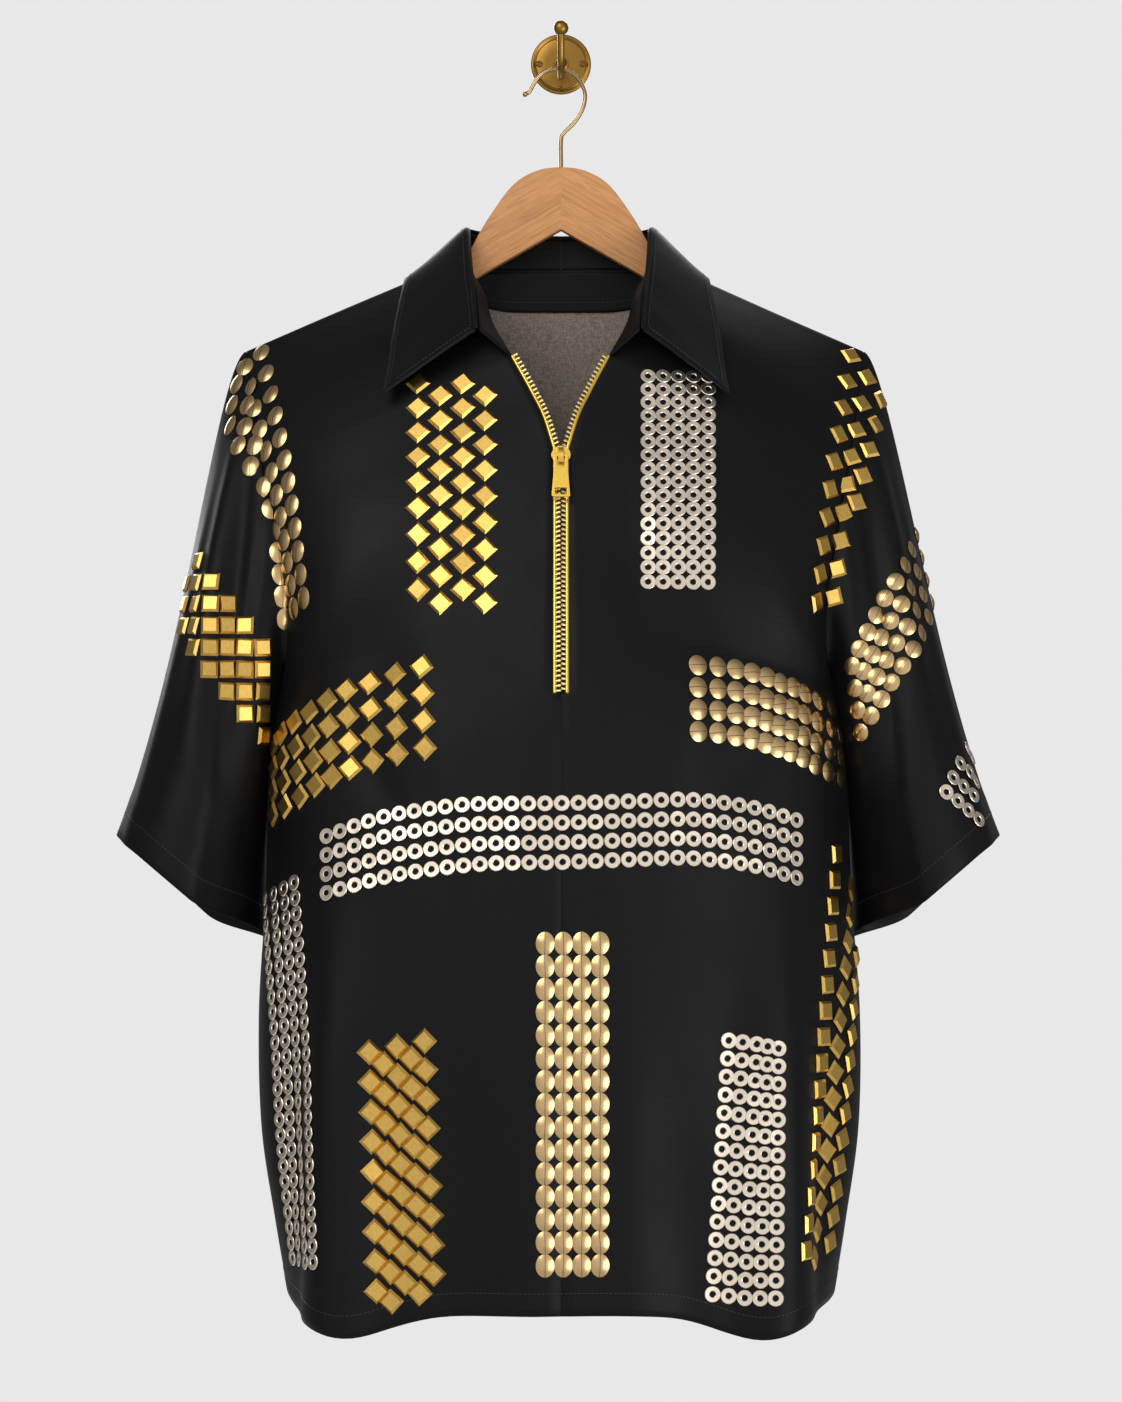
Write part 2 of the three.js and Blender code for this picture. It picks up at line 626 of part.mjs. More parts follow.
for (const name of ["front_left", "front_right"]) {
  add(name, new Surface().addGrid(grids[name], inward[name]).wall(0, CLOTH), satin);
}
const backSurface = new Surface()
  .addGrid(grids.back_left, inward.back_left, { flip: true })
  .addGrid(grids.back_right, inward.back_right);
add("back", backSurface.wall(0, CLOTH), satin);
for (const name of ["sleeve_left", "sleeve_right"]) {
  const surface = new Surface().addGrid(grids[name], inward[name], { wraps: true });
  add(name, surface.wall(0, CLOTH), satin);
}

// Collar. Its neck seam follows the panels' neckline from the front corner to the centre back.
const NECK_FRONT_STEPS = PANEL_STEPS.indexOf(ZIP_TOP_ROW);
const NECK_BACK_STEPS = PANEL_STEPS.indexOf(NECK_BACK_ROW);

function neckSeam(side) {
  const front = grids[side < 0 ? "front_left" : "front_right"];
  const back = grids[side < 0 ? "back_left" : "back_right"];
  const seam = [];
  for (let i = NECK_FRONT_STEPS; i > 0; i--) seam.push(front[i][0]);
  seam.push(front[0][0].clone().add(back[0][0]).multiplyScalar(0.5));
  for (let i = 1; i <= NECK_BACK_STEPS; i++) seam.push(back[i][0]);
  return seam;
}

function collarStations(side) {
  const seam = neckSeam(side);
  const walk = [0];
  for (let i = 1; i < seam.length; i++) walk.push(walk[i - 1] + seam[i].distanceTo(seam[i - 1]));
  return seam.map((start, i) => {
    const share = walk[i] / walk.at(-1);
    const next = Math.max(1, COLLAR_STATIONS.findIndex((station) => station.share >= share - 1e-9));
    const [a, b] = [COLLAR_STATIONS[next - 1], COLLAR_STATIONS[next]];
    const r = next - 1 + (share - a.share) / (b.share - a.share);
    const value = (key) => column(COLLAR_STATIONS, key, r);
    return {
      seam: start,
      roll: leaned(point(side * value("xr"), value("yr"), value("zr"))),
      edge: leaned(point(side * value("xe"), value("ye"), value("ze"))),
    };
  });
}

// Both sides in one run, from the left front corner round the back to the right front corner
const collarRun = [...collarStations(-1), ...collarStations(1).reverse().slice(1)];
const NECK_MIDDLE = point(0, -60, -150);
const standGrid = collarRun.map(({ seam, roll }) => {
  const up = roll.clone().sub(seam);
  const high = up.length();
  up.normalize();
  const low = SEAM_GAP * 1.5;
  const top = high - COLLAR_CLOTH - 4 * SEAM_GAP;
  return Array.from({ length: STAND_STEPS + 1 }, (_, j) =>
    seam.clone().addScaledVector(up, lerp(low, top, j / STAND_STEPS)));
});
const standNormals = gridNormals(standGrid, NECK_MIDDLE);
const standInward = standNormals.map((row) => row.map((normal) => normal.clone().negate()));
add("collar_stand", new Surface().addGrid(standGrid, standInward).wall(0, COLLAR_CLOTH), satin);

const fallGrid = collarRun.map(({ roll, edge }, i) => {
  const way = standInward[i][STAND_STEPS];
  const start = roll.clone().addScaledVector(way, COLLAR_CLOTH);
  const crest = roll.clone().addScaledVector(way, -FALL_CREST);
  const run = edge.clone().sub(crest);
  const along = collarRun[Math.min(i + 1, collarRun.length - 1)].roll.clone()
    .sub(collarRun[Math.max(i - 1, 0)].roll);
  const lift = run.clone().cross(along).normalize();
  if (lift.dot(crest.clone().sub(FALL_MIDDLE)) < 0) lift.negate();
  const shares = Array.from({ length: FALL_STEPS + 1 }, (_, j) => (j / FALL_STEPS) ** 1.5);
  return [start, ...shares.map((t) => crest.clone().addScaledVector(run, t)
    .addScaledVector(lift, FALL_LIFT * Math.sin(Math.PI * Math.sqrt(t))))];
});
const fallInward = gridNormals(fallGrid, FALL_MIDDLE);
fallInward.flat().forEach((normal) => normal.negate());
add("collar_fall", new Surface().addGrid(fallGrid, fallInward).wall(0, COLLAR_CLOTH), satin);

// An outline of X, Z pairs seen from the front, extruded from y = front back by thick
function plate(outline, front, thick, holes = []) {
  const trace = (path, numbers) => {
    for (let i = 0; i < numbers.length; i += 2) {
      if (i === 0) path.moveTo(numbers[i], numbers[i + 1]);
      else path.lineTo(numbers[i], numbers[i + 1]);
    }
    return path;
  };
  const shape = trace(new THREE.Shape(), outline);
  for (const hole of holes) shape.holes.push(trace(new THREE.Path(), hole));
  const geometry = new THREE.ExtrudeGeometry(shape, { depth: thick, bevelEnabled: false });
  geometry.rotateX(Math.PI / 2);
  geometry.translate(0, front + thick, 0);
  return geometry;
}

// The black facing inside the back of the neck
const facingSkin = toManifold(backSurface.wall(CLOTH + SEAM_GAP, CLOTH + SEAM_GAP + FACING));
const facingCut = toManifold(plate(FACING_OUTLINE, FACING_FRONT, -FACING_FRONT));
add("back_neck_facing", fromManifold(facingSkin.intersect(facingCut)), satin);

// Trim patches: a thin plate over the cloth, where the sewn-on studs, discs or rings sit
const centreStrip = (of) => of.front_left.map((row, i) => [row[0], of.front_right[i][0]]);
const wholeFront = new Surface()
  .addGrid(grids.front_left, inward.front_left, { flip: true })
  .addGrid(grids.front_right, inward.front_right)
  .addGrid(centreStrip(grids), centreStrip(inward));
const skins = { front: wholeFront };
for (const name of ["front_left", "front_right"]) {
  skins[name] = new Surface().addGrid(grids[name], inward[name]);
}
for (const name of ["sleeve_left", "sleeve_right"]) {
  skins[name] = new Surface().addGrid(grids[name], inward[name], { wraps: true });
}
const CUT_FRONT = -300;
const SLEEVE_CUT_BACK = -92;
for (const [name, [carrier, outline]] of Object.entries(PATCHES)) {
  const skin = toManifold(skins[carrier].wall(-TRIM_LIFT - TRIM_THICK, -TRIM_LIFT));
  const cutBack = carrier.startsWith("sleeve") ? SLEEVE_CUT_BACK : 0;
  const cut = toManifold(plate(outline, CUT_FRONT, cutBack - CUT_FRONT));
  const pieces = skin.intersect(cut).decompose();
  const largest = pieces.sort((a, b) => b.volume() - a.volume())[0];
  const metal = name.includes("stud") ? gold : name.includes("dome") ? champagne : silver;
  add(name, fromManifold(largest), metal);
}

// Zip tapes with their chain, along the front edges from the top of the opening to its end
function zipTape(name) {
  const rows = [];
  const ways = [];
  PANEL_STEPS.forEach((r, i) => {
    if (r < ZIP_TOP_ROW || r > ZIP_END_ROW) return;
    const edge = grids[name][i][0];
    const inside = edge.clone().sub(grids[name][i][1]).normalize();
    const rise = inward[name][i][0].clone().negate();
    const place = (across, up) =>
      edge.clone().addScaledVector(inside, across).addScaledVector(rise, up);
    rows.push([
      place(SEAM_GAP, 0),
      place(ZIP_HALF + SEAM_GAP / 2 - CHAIN_HALF, 0),
      place(ZIP_HALF + SEAM_GAP / 2 - CHAIN_HALF + 0.3, CHAIN_RISE),
      place(ZIP_HALF + SEAM_GAP / 2, CHAIN_RISE),
    ]);
    ways.push(Array(4).fill(inward[name][i][0]));
  });
  return new Surface().addGrid(rows, ways);
}
for (const hand of ["left", "right"]) {
  add(`zip_tape_${hand}`, zipTape(`front_${hand}`).wall(0, CLOTH + CHAIN_RISE), gold);
}

// Points of an arc round (x, z), from angle a to angle b in degrees
function arc(x, z, radius, a, b, steps) {
  const numbers = [];
  for (let i = 0; i <= steps; i++) {
    const angle = radians(lerp(a, b, i / steps));
    numbers.push(x + radius * Math.cos(angle), z + radius * Math.sin(angle));
  }
  return numbers;
}

// Zip slider and pull tab, in the frame of the zip where the opening closes: out of the cloth is -Y
const zipFrame = new THREE.Group();
zipFrame.position.copy(ZIP_PLACE);
zipFrame.rotation.x = radians(-ZIP_SLOPE);
shirt.add(zipFrame);

// The slider: a round-headed front wing, a back wing, the post between them and the bail
function sliderBody() {
  const { headRadius, headZ, waist, low, front, thick, backFace, backThick } = SLIDER;
  const wing = (scale) => [
    ...arc(0, headZ, headRadius * scale, -50, 230, 16),
    -waist * scale, -low * scale, waist * scale, -low * scale,
  ];
  const side = SLIDER.postWide / 2;
  const [postLow, postTop] = [-0.5, 0.5].map((share) => SLIDER.postZ + share * SLIDER.postHigh);
  const postOutline = [-side, postLow, side, postLow, side, postTop, -side, postTop];
  const foot = -front - thick / 2;
  const bail = new THREE.Shape();
  bail.absellipse(0, HINGE_OUT, BAIL.reach, BAIL.rise, 0, Math.PI, false);
  bail.lineTo(-BAIL.reach, foot);
  bail.lineTo(-BAIL.reach + BAIL.thick, foot);
  bail.absellipse(0, HINGE_OUT, BAIL.reach - BAIL.thick, BAIL.rise - BAIL.thick, Math.PI, 0, true);
  bail.lineTo(BAIL.reach - BAIL.thick, foot);
  bail.lineTo(BAIL.reach, foot);
  const arch = new THREE.ExtrudeGeometry(bail,
    { depth: BAIL.wide, bevelEnabled: false, curveSegments: 12 });
  // the outline's first axis becomes Z, its second -Y, its depth X
  arch.applyMatrix4(new THREE.Matrix4().set(
    0, 0, 1, -BAIL.wide / 2,
    0, -1, 0, 0,
    1, 0, 0, 0,
    0, 0, 0, 1));
  return join(
    plate(wing(1), front, thick),
    plate(wing(SLIDER.backShare), backFace, backThick),
    plate(postOutline, front + thick / 2, backFace + backThick / 2 - front - thick / 2),
    arch,
  );
}
add("zip_slider", sliderBody(), gold, zipFrame);

function pullTab() {
  const { top, low, topHalf, lowHalf, flare, thick, corner, window, hole } = TAB;
  const right = [
    topHalf - corner, top, topHalf, top - corner, topHalf, -flare,
    lowHalf, corner - low, lowHalf - corner, -low,
  ];
  const left = [];
  for (let i = right.length - 2; i >= 0; i -= 2) left.push(-right[i], right[i + 1]);
  const outline = [...right, ...left];
  const rectangle = ([half, high, deep]) => [-half, high, -half, deep, half, deep, half, high];
  return plate(outline, -HINGE_OUT - thick / 2, thick, [rectangle(window), rectangle(hole)]);
}
add("zip_pull_tab", pullTab(), gold, zipFrame);

// Hanger: two wooden halves that meet under the hook, with rounded edges
function hangerHalf(side) {
  const top = new THREE.SplineCurve(HANGER_TOP.map(({ x, z }) => new THREE.Vector2(x, z)));
  const shape = new THREE.Shape();
  top.getPoints(26).forEach((p, i) => (i === 0 ? shape.moveTo(p.x, p.y) : shape.lineTo(p.x, p.y)));
  for (const { x, z } of HANGER_LOW) shape.lineTo(x, z);
  const geometry = new THREE.ExtrudeGeometry(shape, {
    depth: HANGER_THICK - 2 * HANGER_EDGE,
    bevelThickness: HANGER_EDGE,
    bevelSize: HANGER_EDGE,
    bevelOffset: -HANGER_EDGE,
    bevelSegments: 2,
  });
  geometry.translate(0, 0, HANGER_EDGE);
  geometry.rotateX(Math.PI / 2);
  geometry.translate(0, HANGER_Y + HANGER_THICK / 2, 0);
  if (side > 0) return geometry;
  // mirrored, so each triangle is turned over again
  geometry.scale(-1, 1, 1);
  const index = Array.from({ length: geometry.attributes.position.count }, (_, i) => i);
  for (let i = 0; i < index.length; i += 3) [index[i], index[i + 1]] = [index[i + 1], index[i]];
  return geometry.setIndex(index);
}
add("hanger_left", hangerHalf(-1), beech);
add("hanger_right", hangerHalf(1), beech);

// A round bar along a smooth line through points
function bar(points, radius, sides, steps) {
  const shape = new THREE.Shape();
  for (let i = 0; i < sides; i++) {
    const angle = (2 * Math.PI * i) / sides;
    const [x, y] = [radius * Math.cos(angle), radius * Math.sin(angle)];
    if (i === 0) shape.moveTo(x, y);
    else shape.lineTo(x, y);
  }
  const extrudePath = new THREE.CatmullRomCurve3(points, false, "centripetal");
  return new THREE.ExtrudeGeometry(shape, { steps, extrudePath, bevelEnabled: false });
}
add("hanger_hook", bar(WIRE_LINE.map(({ x, z }) => point(x, HANGER_Y, z)), WIRE_RADIUS, 8, 40), steel);

// A turned piece, from radius and depth pairs, with its axis along -Y from y = back
function turned(profile, back, sides) {
  const points = [];
  for (let i = 0; i < profile.length; i += 2) points.push(new THREE.Vector2(profile[i], profile[i + 1]));
  const geometry = new THREE.LatheGeometry(points, sides);
  geometry.rotateX(Math.PI);
  geometry.translate(0, back, 0);
  return geometry;
}

// Wall plate with a groove inside its rim, its three screws, and the hook arm with its ball
const groove = 0.92 * PLATE_RADIUS;
add("wall_plate", turned([
  0, 0, PLATE_RADIUS, 0, PLATE_RADIUS, 0.45 * PLATE_THICK, groove + 0.8, 0.8 * PLATE_THICK,
  groove, 0.6 * PLATE_THICK, groove - 0.8, PLATE_THICK, 0, PLATE_THICK,
], 0, 40), brass);
for (const { name, x, z, radius } of SCREWS) {
  const head = turned([0, 0, radius, 0, 0.8 * radius, 0.6, 0, 0.9], -PLATE_THICK - SEAM_GAP, 12);
  add(name, head.translate(x, 0, z), brass);
}
const boss = turned([0, 0, BOSS_RADIUS, 0, BOSS_RADIUS, 1.5, 0.7 * BOSS_RADIUS, 3.4, 0, 3.4],
  -PLATE_THICK - SEAM_GAP, 20);
const ball = new THREE.SphereGeometry(BALL_RADIUS, 14, 10);
ball.translate(0, ARM_LINE.at(-1).y, ARM_LINE.at(-1).z);
const arm = bar(ARM_LINE.map(({ y, z }) => point(0, y, z)), ARM_RADIUS, 10, 14);
add("hook_arm", join(boss, arm, ball), brass);

export default shirt;
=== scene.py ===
# Half-zip shirt in black satin with stud, disc and ring trim, on a wooden hanger and a brass wall
# hook. Sizes are in millimetres in the frame of the wall plate, and become metres in each mesh.
import math

import bmesh
import bpy
import numpy as np
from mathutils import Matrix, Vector
from mathutils.bvhtree import BVHTree


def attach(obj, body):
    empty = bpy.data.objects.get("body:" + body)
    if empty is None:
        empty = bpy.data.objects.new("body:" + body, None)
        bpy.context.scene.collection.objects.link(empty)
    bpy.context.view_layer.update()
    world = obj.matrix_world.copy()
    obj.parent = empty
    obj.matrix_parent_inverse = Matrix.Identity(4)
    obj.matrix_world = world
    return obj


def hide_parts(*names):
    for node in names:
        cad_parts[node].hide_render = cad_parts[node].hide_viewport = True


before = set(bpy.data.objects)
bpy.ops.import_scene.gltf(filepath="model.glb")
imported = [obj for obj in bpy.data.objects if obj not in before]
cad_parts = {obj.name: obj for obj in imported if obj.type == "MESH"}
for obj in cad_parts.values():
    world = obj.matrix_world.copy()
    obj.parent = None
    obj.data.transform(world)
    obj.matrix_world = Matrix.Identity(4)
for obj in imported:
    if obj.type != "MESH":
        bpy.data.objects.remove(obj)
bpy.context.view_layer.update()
scene = bpy.context.scene
MM = 0.001

# Camera: level and square to the wall, with the shirt's middle in the middle of the picture. Its
# focal length and the picture's height are in pixels of the photo.
CAMERA_PLACE = (0, -2710, -464.3)
FOCAL_PIXELS = 3714
IMAGE_HEIGHT = 1402
SENSOR = 36


def in_scene(name, data):
    """A new object of the scene"""
    item = bpy.data.objects.new(name, data)
    scene.collection.objects.link(item)
    return item


camera = in_scene("camera", bpy.data.cameras.new("camera"))
camera.data.lens = SENSOR * FOCAL_PIXELS / IMAGE_HEIGHT
camera.data.sensor_width = SENSOR
camera.location = Vector(CAMERA_PLACE) * MM
camera.rotation_euler = (math.radians(90), 0, 0)
scene.camera = camera

# Wall hook: a turned brass plate with a beaded rim, three screws, and a bent arm that ends in a
# ball. Cast brass, turned and lacquered, with a soft antique tone in the grooves.
PLATE_RADIUS = 21.9
PLATE_FRONT = -3.2
PLATE_GAP = 0.3
GROOVE = 0.86 * PLATE_RADIUS
BOSS_RADIUS = 5.2
BALL_RADIUS = 5.4
ARM_RADII = (3.4, 3.1, 2.7, 2.5, 2.5, 2.6, 2.8)
ARM_LINE = [(-6.2, 0.4), (-16, -6.5), (-31, -14.2), (-42, -12), (-50, -4), (-54, 8), (-55, 17)]
SCREWS = {"screw_left": (-15.9, 0, 2.4), "screw_right": (15.9, 0, 2.4), "screw_low": (0, -17.4, 1.3)}
SCREW_SLOT = 0.28
SCREW_SLOT_DEEP = 0.35


def linear(colour):
    """The linear values of an sRGB hex colour"""
    channels = [int(colour[i:i + 2], 16) / 255 for i in (1, 3, 5)]
    return [c / 12.92 if c <= 0.04045 else ((c + 0.055) / 1.055) ** 2.4 for c in channels] + [1]


def emptied(owner):
    """A material or world with no nodes yet"""
    owner.use_nodes = True
    owner.node_tree.nodes.clear()
    return owner


def add_node(owner, kind, inputs, **settings):
    """The outputs of a new node of a material or world. Its inputs are values or other outputs."""
    tree = owner.node_tree
    node = tree.nodes.new(f"ShaderNode{kind}")
    for name, value in settings.items():
        setattr(node, name, value)
    for name, value in inputs.items():
        if isinstance(value, bpy.types.NodeSocket):
            tree.links.new(value, node.inputs[name])
        else:
            node.inputs[name].default_value = value
    return node.outputs


def finished(material, inputs):
    """The material with its surface shader"""
    shader = add_node(material, "BsdfPrincipled", inputs)
    add_node(material, "OutputMaterial", {"Surface": shader[0]})
    return material


def make_piece(name, node, shape, materials, numbers=None, uvs=None, sharp=35):
    """A piece of the shirt's body in place of its CAD node, from a shape of points in mm and faces,
    with a material number for each face and UVs for each of its corners"""
    mesh = bpy.data.meshes.new(name)
    mesh.from_pydata(shape[0] * MM, [], [list(face) for face in shape[1]])
    for material in materials:
        mesh.materials.append(material)
    if numbers is not None:
        mesh.polygons.foreach_set("material_index", np.asarray(numbers, dtype=np.int32))
    if uvs is not None:
        mesh.uv_layers.new(name="cloth").data.foreach_set("uv", uvs.astype(np.float32).ravel())
    mesh.shade_smooth()
    mesh.set_sharp_from_angle(angle=math.radians(sharp))
    mesh.update()
    piece = in_scene(name, mesh)
    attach(piece, "shirt")
    if node:
        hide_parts(node)
    return piece


def joined(*parts):
    """Several (points, faces) parts in one"""
    bases = np.cumsum([0] + [len(points) for points, _ in parts]).tolist()
    faces = [[index + base for index in face] for (_, part), base in zip(parts, bases) for face in part]
    return np.concatenate([points for points, _ in parts]), faces


def around(steps):
    """Angles of equal steps round a circle"""
    return 2 * math.pi * np.arange(steps) / steps


def bands(rings, steps):
    """Faces between closed rings of points"""
    return [[i * steps + k, i * steps + (k + 1) % steps, (i + 1) * steps + (k + 1) % steps,
             (i + 1) * steps + k] for i in range(rings - 1) for k in range(steps)]


def turned(profile, steps=64):
    """A turned part about the Y axis, from (radius, y) pairs that start and end on the axis"""
    points = [(radius * math.cos(a), y, radius * math.sin(a)) for radius, y in profile[1:-1]
              for a in around(steps)]
    last = len(points) + 1
    first_faces = [[0, 1 + k, 1 + (k + 1) % steps] for k in range(steps)]
    faces = [[1 + a, 1 + d, 1 + c, 1 + b] for a, b, c, d in bands(len(profile) - 2, steps)]
    last_faces = [[last - steps + k, last, last - steps + (k + 1) % steps] for k in range(steps)]
    return (np.array([(0, profile[0][1], 0), *points, (0, profile[-1][1], 0)], dtype=float),
            first_faces + faces + last_faces)


def between(before, a, b, after, t):
    """The place at t on the smooth curve from a to b"""
    bend = 2 * before - 5 * a + 4 * b - after
    swing = 3 * a - before - 3 * b + after
    return a + 0.5 * t * (b - before + t * (bend + t * swing))


def smooth_line(stations, steps):
    """Points of a smooth line through stations, with the same number of steps in each stretch"""
    stations = np.asarray(stations, dtype=float)
    ends = np.vstack([2 * stations[0] - stations[1], stations, 2 * stations[-1] - stations[-2]])
    return np.array([between(*ends[i - 1:i + 3], t) for i in range(1, len(stations))
                     for t in np.arange(steps) / steps] + [stations[-1]])


def unit(vectors):
    """Vectors scaled to length 1"""
    return vectors / np.maximum(np.linalg.norm(vectors, axis=-1, keepdims=True), 1e-12)


def tube(line, radii, sides=20):
    """A round bar along a line, with domed ends"""
    line = np.asarray(line, dtype=float)
    radii = np.broadcast_to(radii, len(line)).astype(float)
    way = unit(np.gradient(line, axis=0))
    start = [line[0] - way[0] * radii[0] * share for share in (0.5, 0.35)]
    end = [line[-1] + way[-1] * radii[-1] * share for share in (0.35, 0.5)]
    radii = [0.01, 0.72 * radii[0], *radii, 0.72 * radii[-1], 0.01]
    way = way[[0, 0, *range(len(way)), -1, -1]]
    side = np.cross(way[0], (1, 0, 0) if abs(way[0][0]) < 0.8 else (0, 0, 1))
    points = []
    for place, heading, radius in zip([*start, *line, *end], way, radii):
        side = unit(side - heading * side.dot(heading))
        up = np.cross(heading, side)
        points += [place + radius * (math.cos(a) * side + math.sin(a) * up) for a in around(sides)]
    caps = [list(range(sides))[::-1], list(range(len(points) - sides, len(points)))]
    return np.array(points), bands(len(way), sides) + caps


def ball(place, radius):
    """A ball round a place"""
    arc = [(math.sin(a), math.cos(a)) for a in np.linspace(0.12, math.pi - 0.12, 22)]
    points, faces = turned([(0, 1), *arc, (0, -1)], 40)
    return points * radius + place, faces


def metal(name, colour, dark, roughness, wear):
    """Plated or solid metal: dark tone in the hollows and a soft unevenness of gloss"""
    material = emptied(bpy.data.materials.new(name))
    place = add_node(material, "TexCoord", {})["Object"]
    patina = add_node(material, "TexNoise", {"Vector": place, "Scale": 1 / (wear * MM), "Detail": 4,
                                             "Roughness": 0.6})["Fac"]
    tone = add_node(material, "Mix", {0: patina, 6: linear(dark), 7: linear(colour)}, data_type="RGBA")[2]
    gloss = add_node(material, "MapRange", {0: patina, 1: 0.3, 2: 0.7, 3: roughness + 0.06,
                                            4: roughness - 0.04})[0]
    dents = add_node(material, "Bump", {"Height": patina, "Strength": 0.03, "Distance": 0.1 * MM})[0]
    return finished(material, {"Base Color": tone, "Metallic": 1, "Roughness": gloss, "Normal": dents})


wall_brass = metal("lacquered antique brass", "#a27c3f", "#876428", 0.32, 14)
screw_brass = metal("screw heads, darker brass", "#8d6a35", "#5f4420", 0.35, 5)
plate_profile = [
    (0, 0), (PLATE_RADIUS - 0.4, 0), (PLATE_RADIUS, -0.4), (PLATE_RADIUS, -1.4),
    (PLATE_RADIUS - 0.5, -2.1), (PLATE_RADIUS - 1.2, -2.4), (GROOVE + 1.2, -2.3),
    (GROOVE + 0.7, -1.9), (GROOVE, -1.7), (GROOVE - 0.6, -2.1), (GROOVE - 0.9, PLATE_FRONT + 0.2),
    (GROOVE - 1.6, PLATE_FRONT), (2 * BOSS_RADIUS, PLATE_FRONT), (0, PLATE_FRONT),
]
make_piece("wall_plate_turned", "wall_plate", turned(plate_profile, 96), [wall_brass])

for name, (x, z, radius) in SCREWS.items():
    points, faces = turned([(0, 0), (radius, 0), (radius, -0.4), (0.86 * radius, -0.8),
                            (0.3 * radius, -0.95), (0, -1)], 32)
    # the driver's slot, pressed into the head across its middle
    in_slot = (abs(points[:, 2]) < SCREW_SLOT * radius) & (points[:, 1] < -0.5)
    points[in_slot, 1] += SCREW_SLOT_DEEP
    points += (x, PLATE_FRONT - PLATE_GAP, z)
    make_piece(f"{name}_head", name, (points, faces), [screw_brass], sharp=25)

boss, boss_faces = turned([(share * BOSS_RADIUS, y) for share, y in (
    (0, 0), (1, 0), (1, -0.9), (0.9, -1.3), (0.8, -1.5), (0.78, -2.4), (0.66, -3.2), (0, -3.5))])
boss[:, 1] += PLATE_FRONT - PLATE_GAP
arm_line = smooth_line([(0, y, z) for y, z in ARM_LINE], 8)
arm_radii = smooth_line([(radius,) for radius in ARM_RADII], 8)[:, 0]
arm = joined((boss, boss_faces), tube(arm_line, arm_radii, 24), ball((0, *ARM_LINE[-1]), BALL_RADIUS))
make_piece("hook_arm_cast", "hook_arm", arm, [wall_brass])

# Hanger: two halves of solid beech, cut to shape, rounded over, oiled, and glued under the hook,
# so that the grain rises to the middle from each side. Its hook is bent antique-brass wire.
SIDES = ((-1, "left"), (1, "right"))
HANGER_THICK = 12
HANGER_Y = -32
HANGER_ROUND = 0.9
HANGER_TOP = [(-9, -80.5), (0, -80), (17, -82.5), (34, -92.4), (50.5, -114), (63.5, -136), (69.5, -149),
              (77, -157.5), (90, -161.2), (112, -170.9), (160, -191.8), (201, -209.7), (207, -216.5)]
HANGER_LOW = [(206, -230.5), (202, -233.5), (112, -190.5), (61.3, -160), (0, -125), (-9, -120)]
GRAIN_SLOPE = 30
WIRE_RADIUS = 1.5
WIRE_END = 1.35 * WIRE_RADIUS
WIRE_LINE = [(0, -79.6), (0, -60), (2, -54.7), (9.4, -47.4), (15.1, -38.3), (17.3, -30),
             (16.5, -23.4), (12.7, -16), (6.9, -11), (-0.6, -9), (-8, -9.4), (-14.6, -12.7),
             (-19.6, -19.3), (-22.9, -25.1), (-26, -26.7)]


def beech(name, slope):
    """Oiled beech: straight grain with fine dark pores and broad soft growth bands"""
    material = emptied(bpy.data.materials.new(name))
    place = add_node(material, "TexCoord", {})["Object"]
    place = add_node(material, "Mapping", {"Vector": place, "Rotation": (0, math.radians(slope), 0)})[0]
    # growth bands about 5 mm apart, pores under 1 mm wide and 15 mm long
    broad = add_node(material, "Mapping", {"Vector": place, "Scale": (10, 60, 330)})[0]
    band = add_node(material, "TexNoise", {"Vector": broad, "Scale": 1, "Detail": 3, "Roughness": 0.55,
                                           "Distortion": 0.6})["Fac"]
    fine = add_node(material, "Mapping", {"Vector": place, "Scale": (70, 400, 1500)})[0]
    pore = add_node(material, "TexNoise", {"Vector": fine, "Scale": 1, "Detail": 2, "Roughness": 0.6})["Fac"]
    tone = add_node(material, "MapRange", {0: band, 1: 0.32, 2: 0.68, 3: 0, 4: 1})[0]
    ground = add_node(material, "Mix", {0: tone, 6: linear("#b37a44"), 7: linear("#cf9356")},
                      data_type="RGBA")[2]
    flecks = add_node(material, "MapRange", {0: pore, 1: 0.5, 2: 0.68, 3: 0, 4: 0.55})[0]
    colour = add_node(material, "Mix", {0: flecks, 6: ground, 7: linear("#8d5a30")}, data_type="RGBA")[2]
    relief = add_node(material, "Bump", {"Height": pore, "Strength": 0.12, "Distance": 0.1 * MM})[0]
    return finished(material, {"Base Color": colour, "Roughness": 0.48, "Coat Weight": 0.12,
                               "Coat Roughness": 0.35, "Normal": relief})


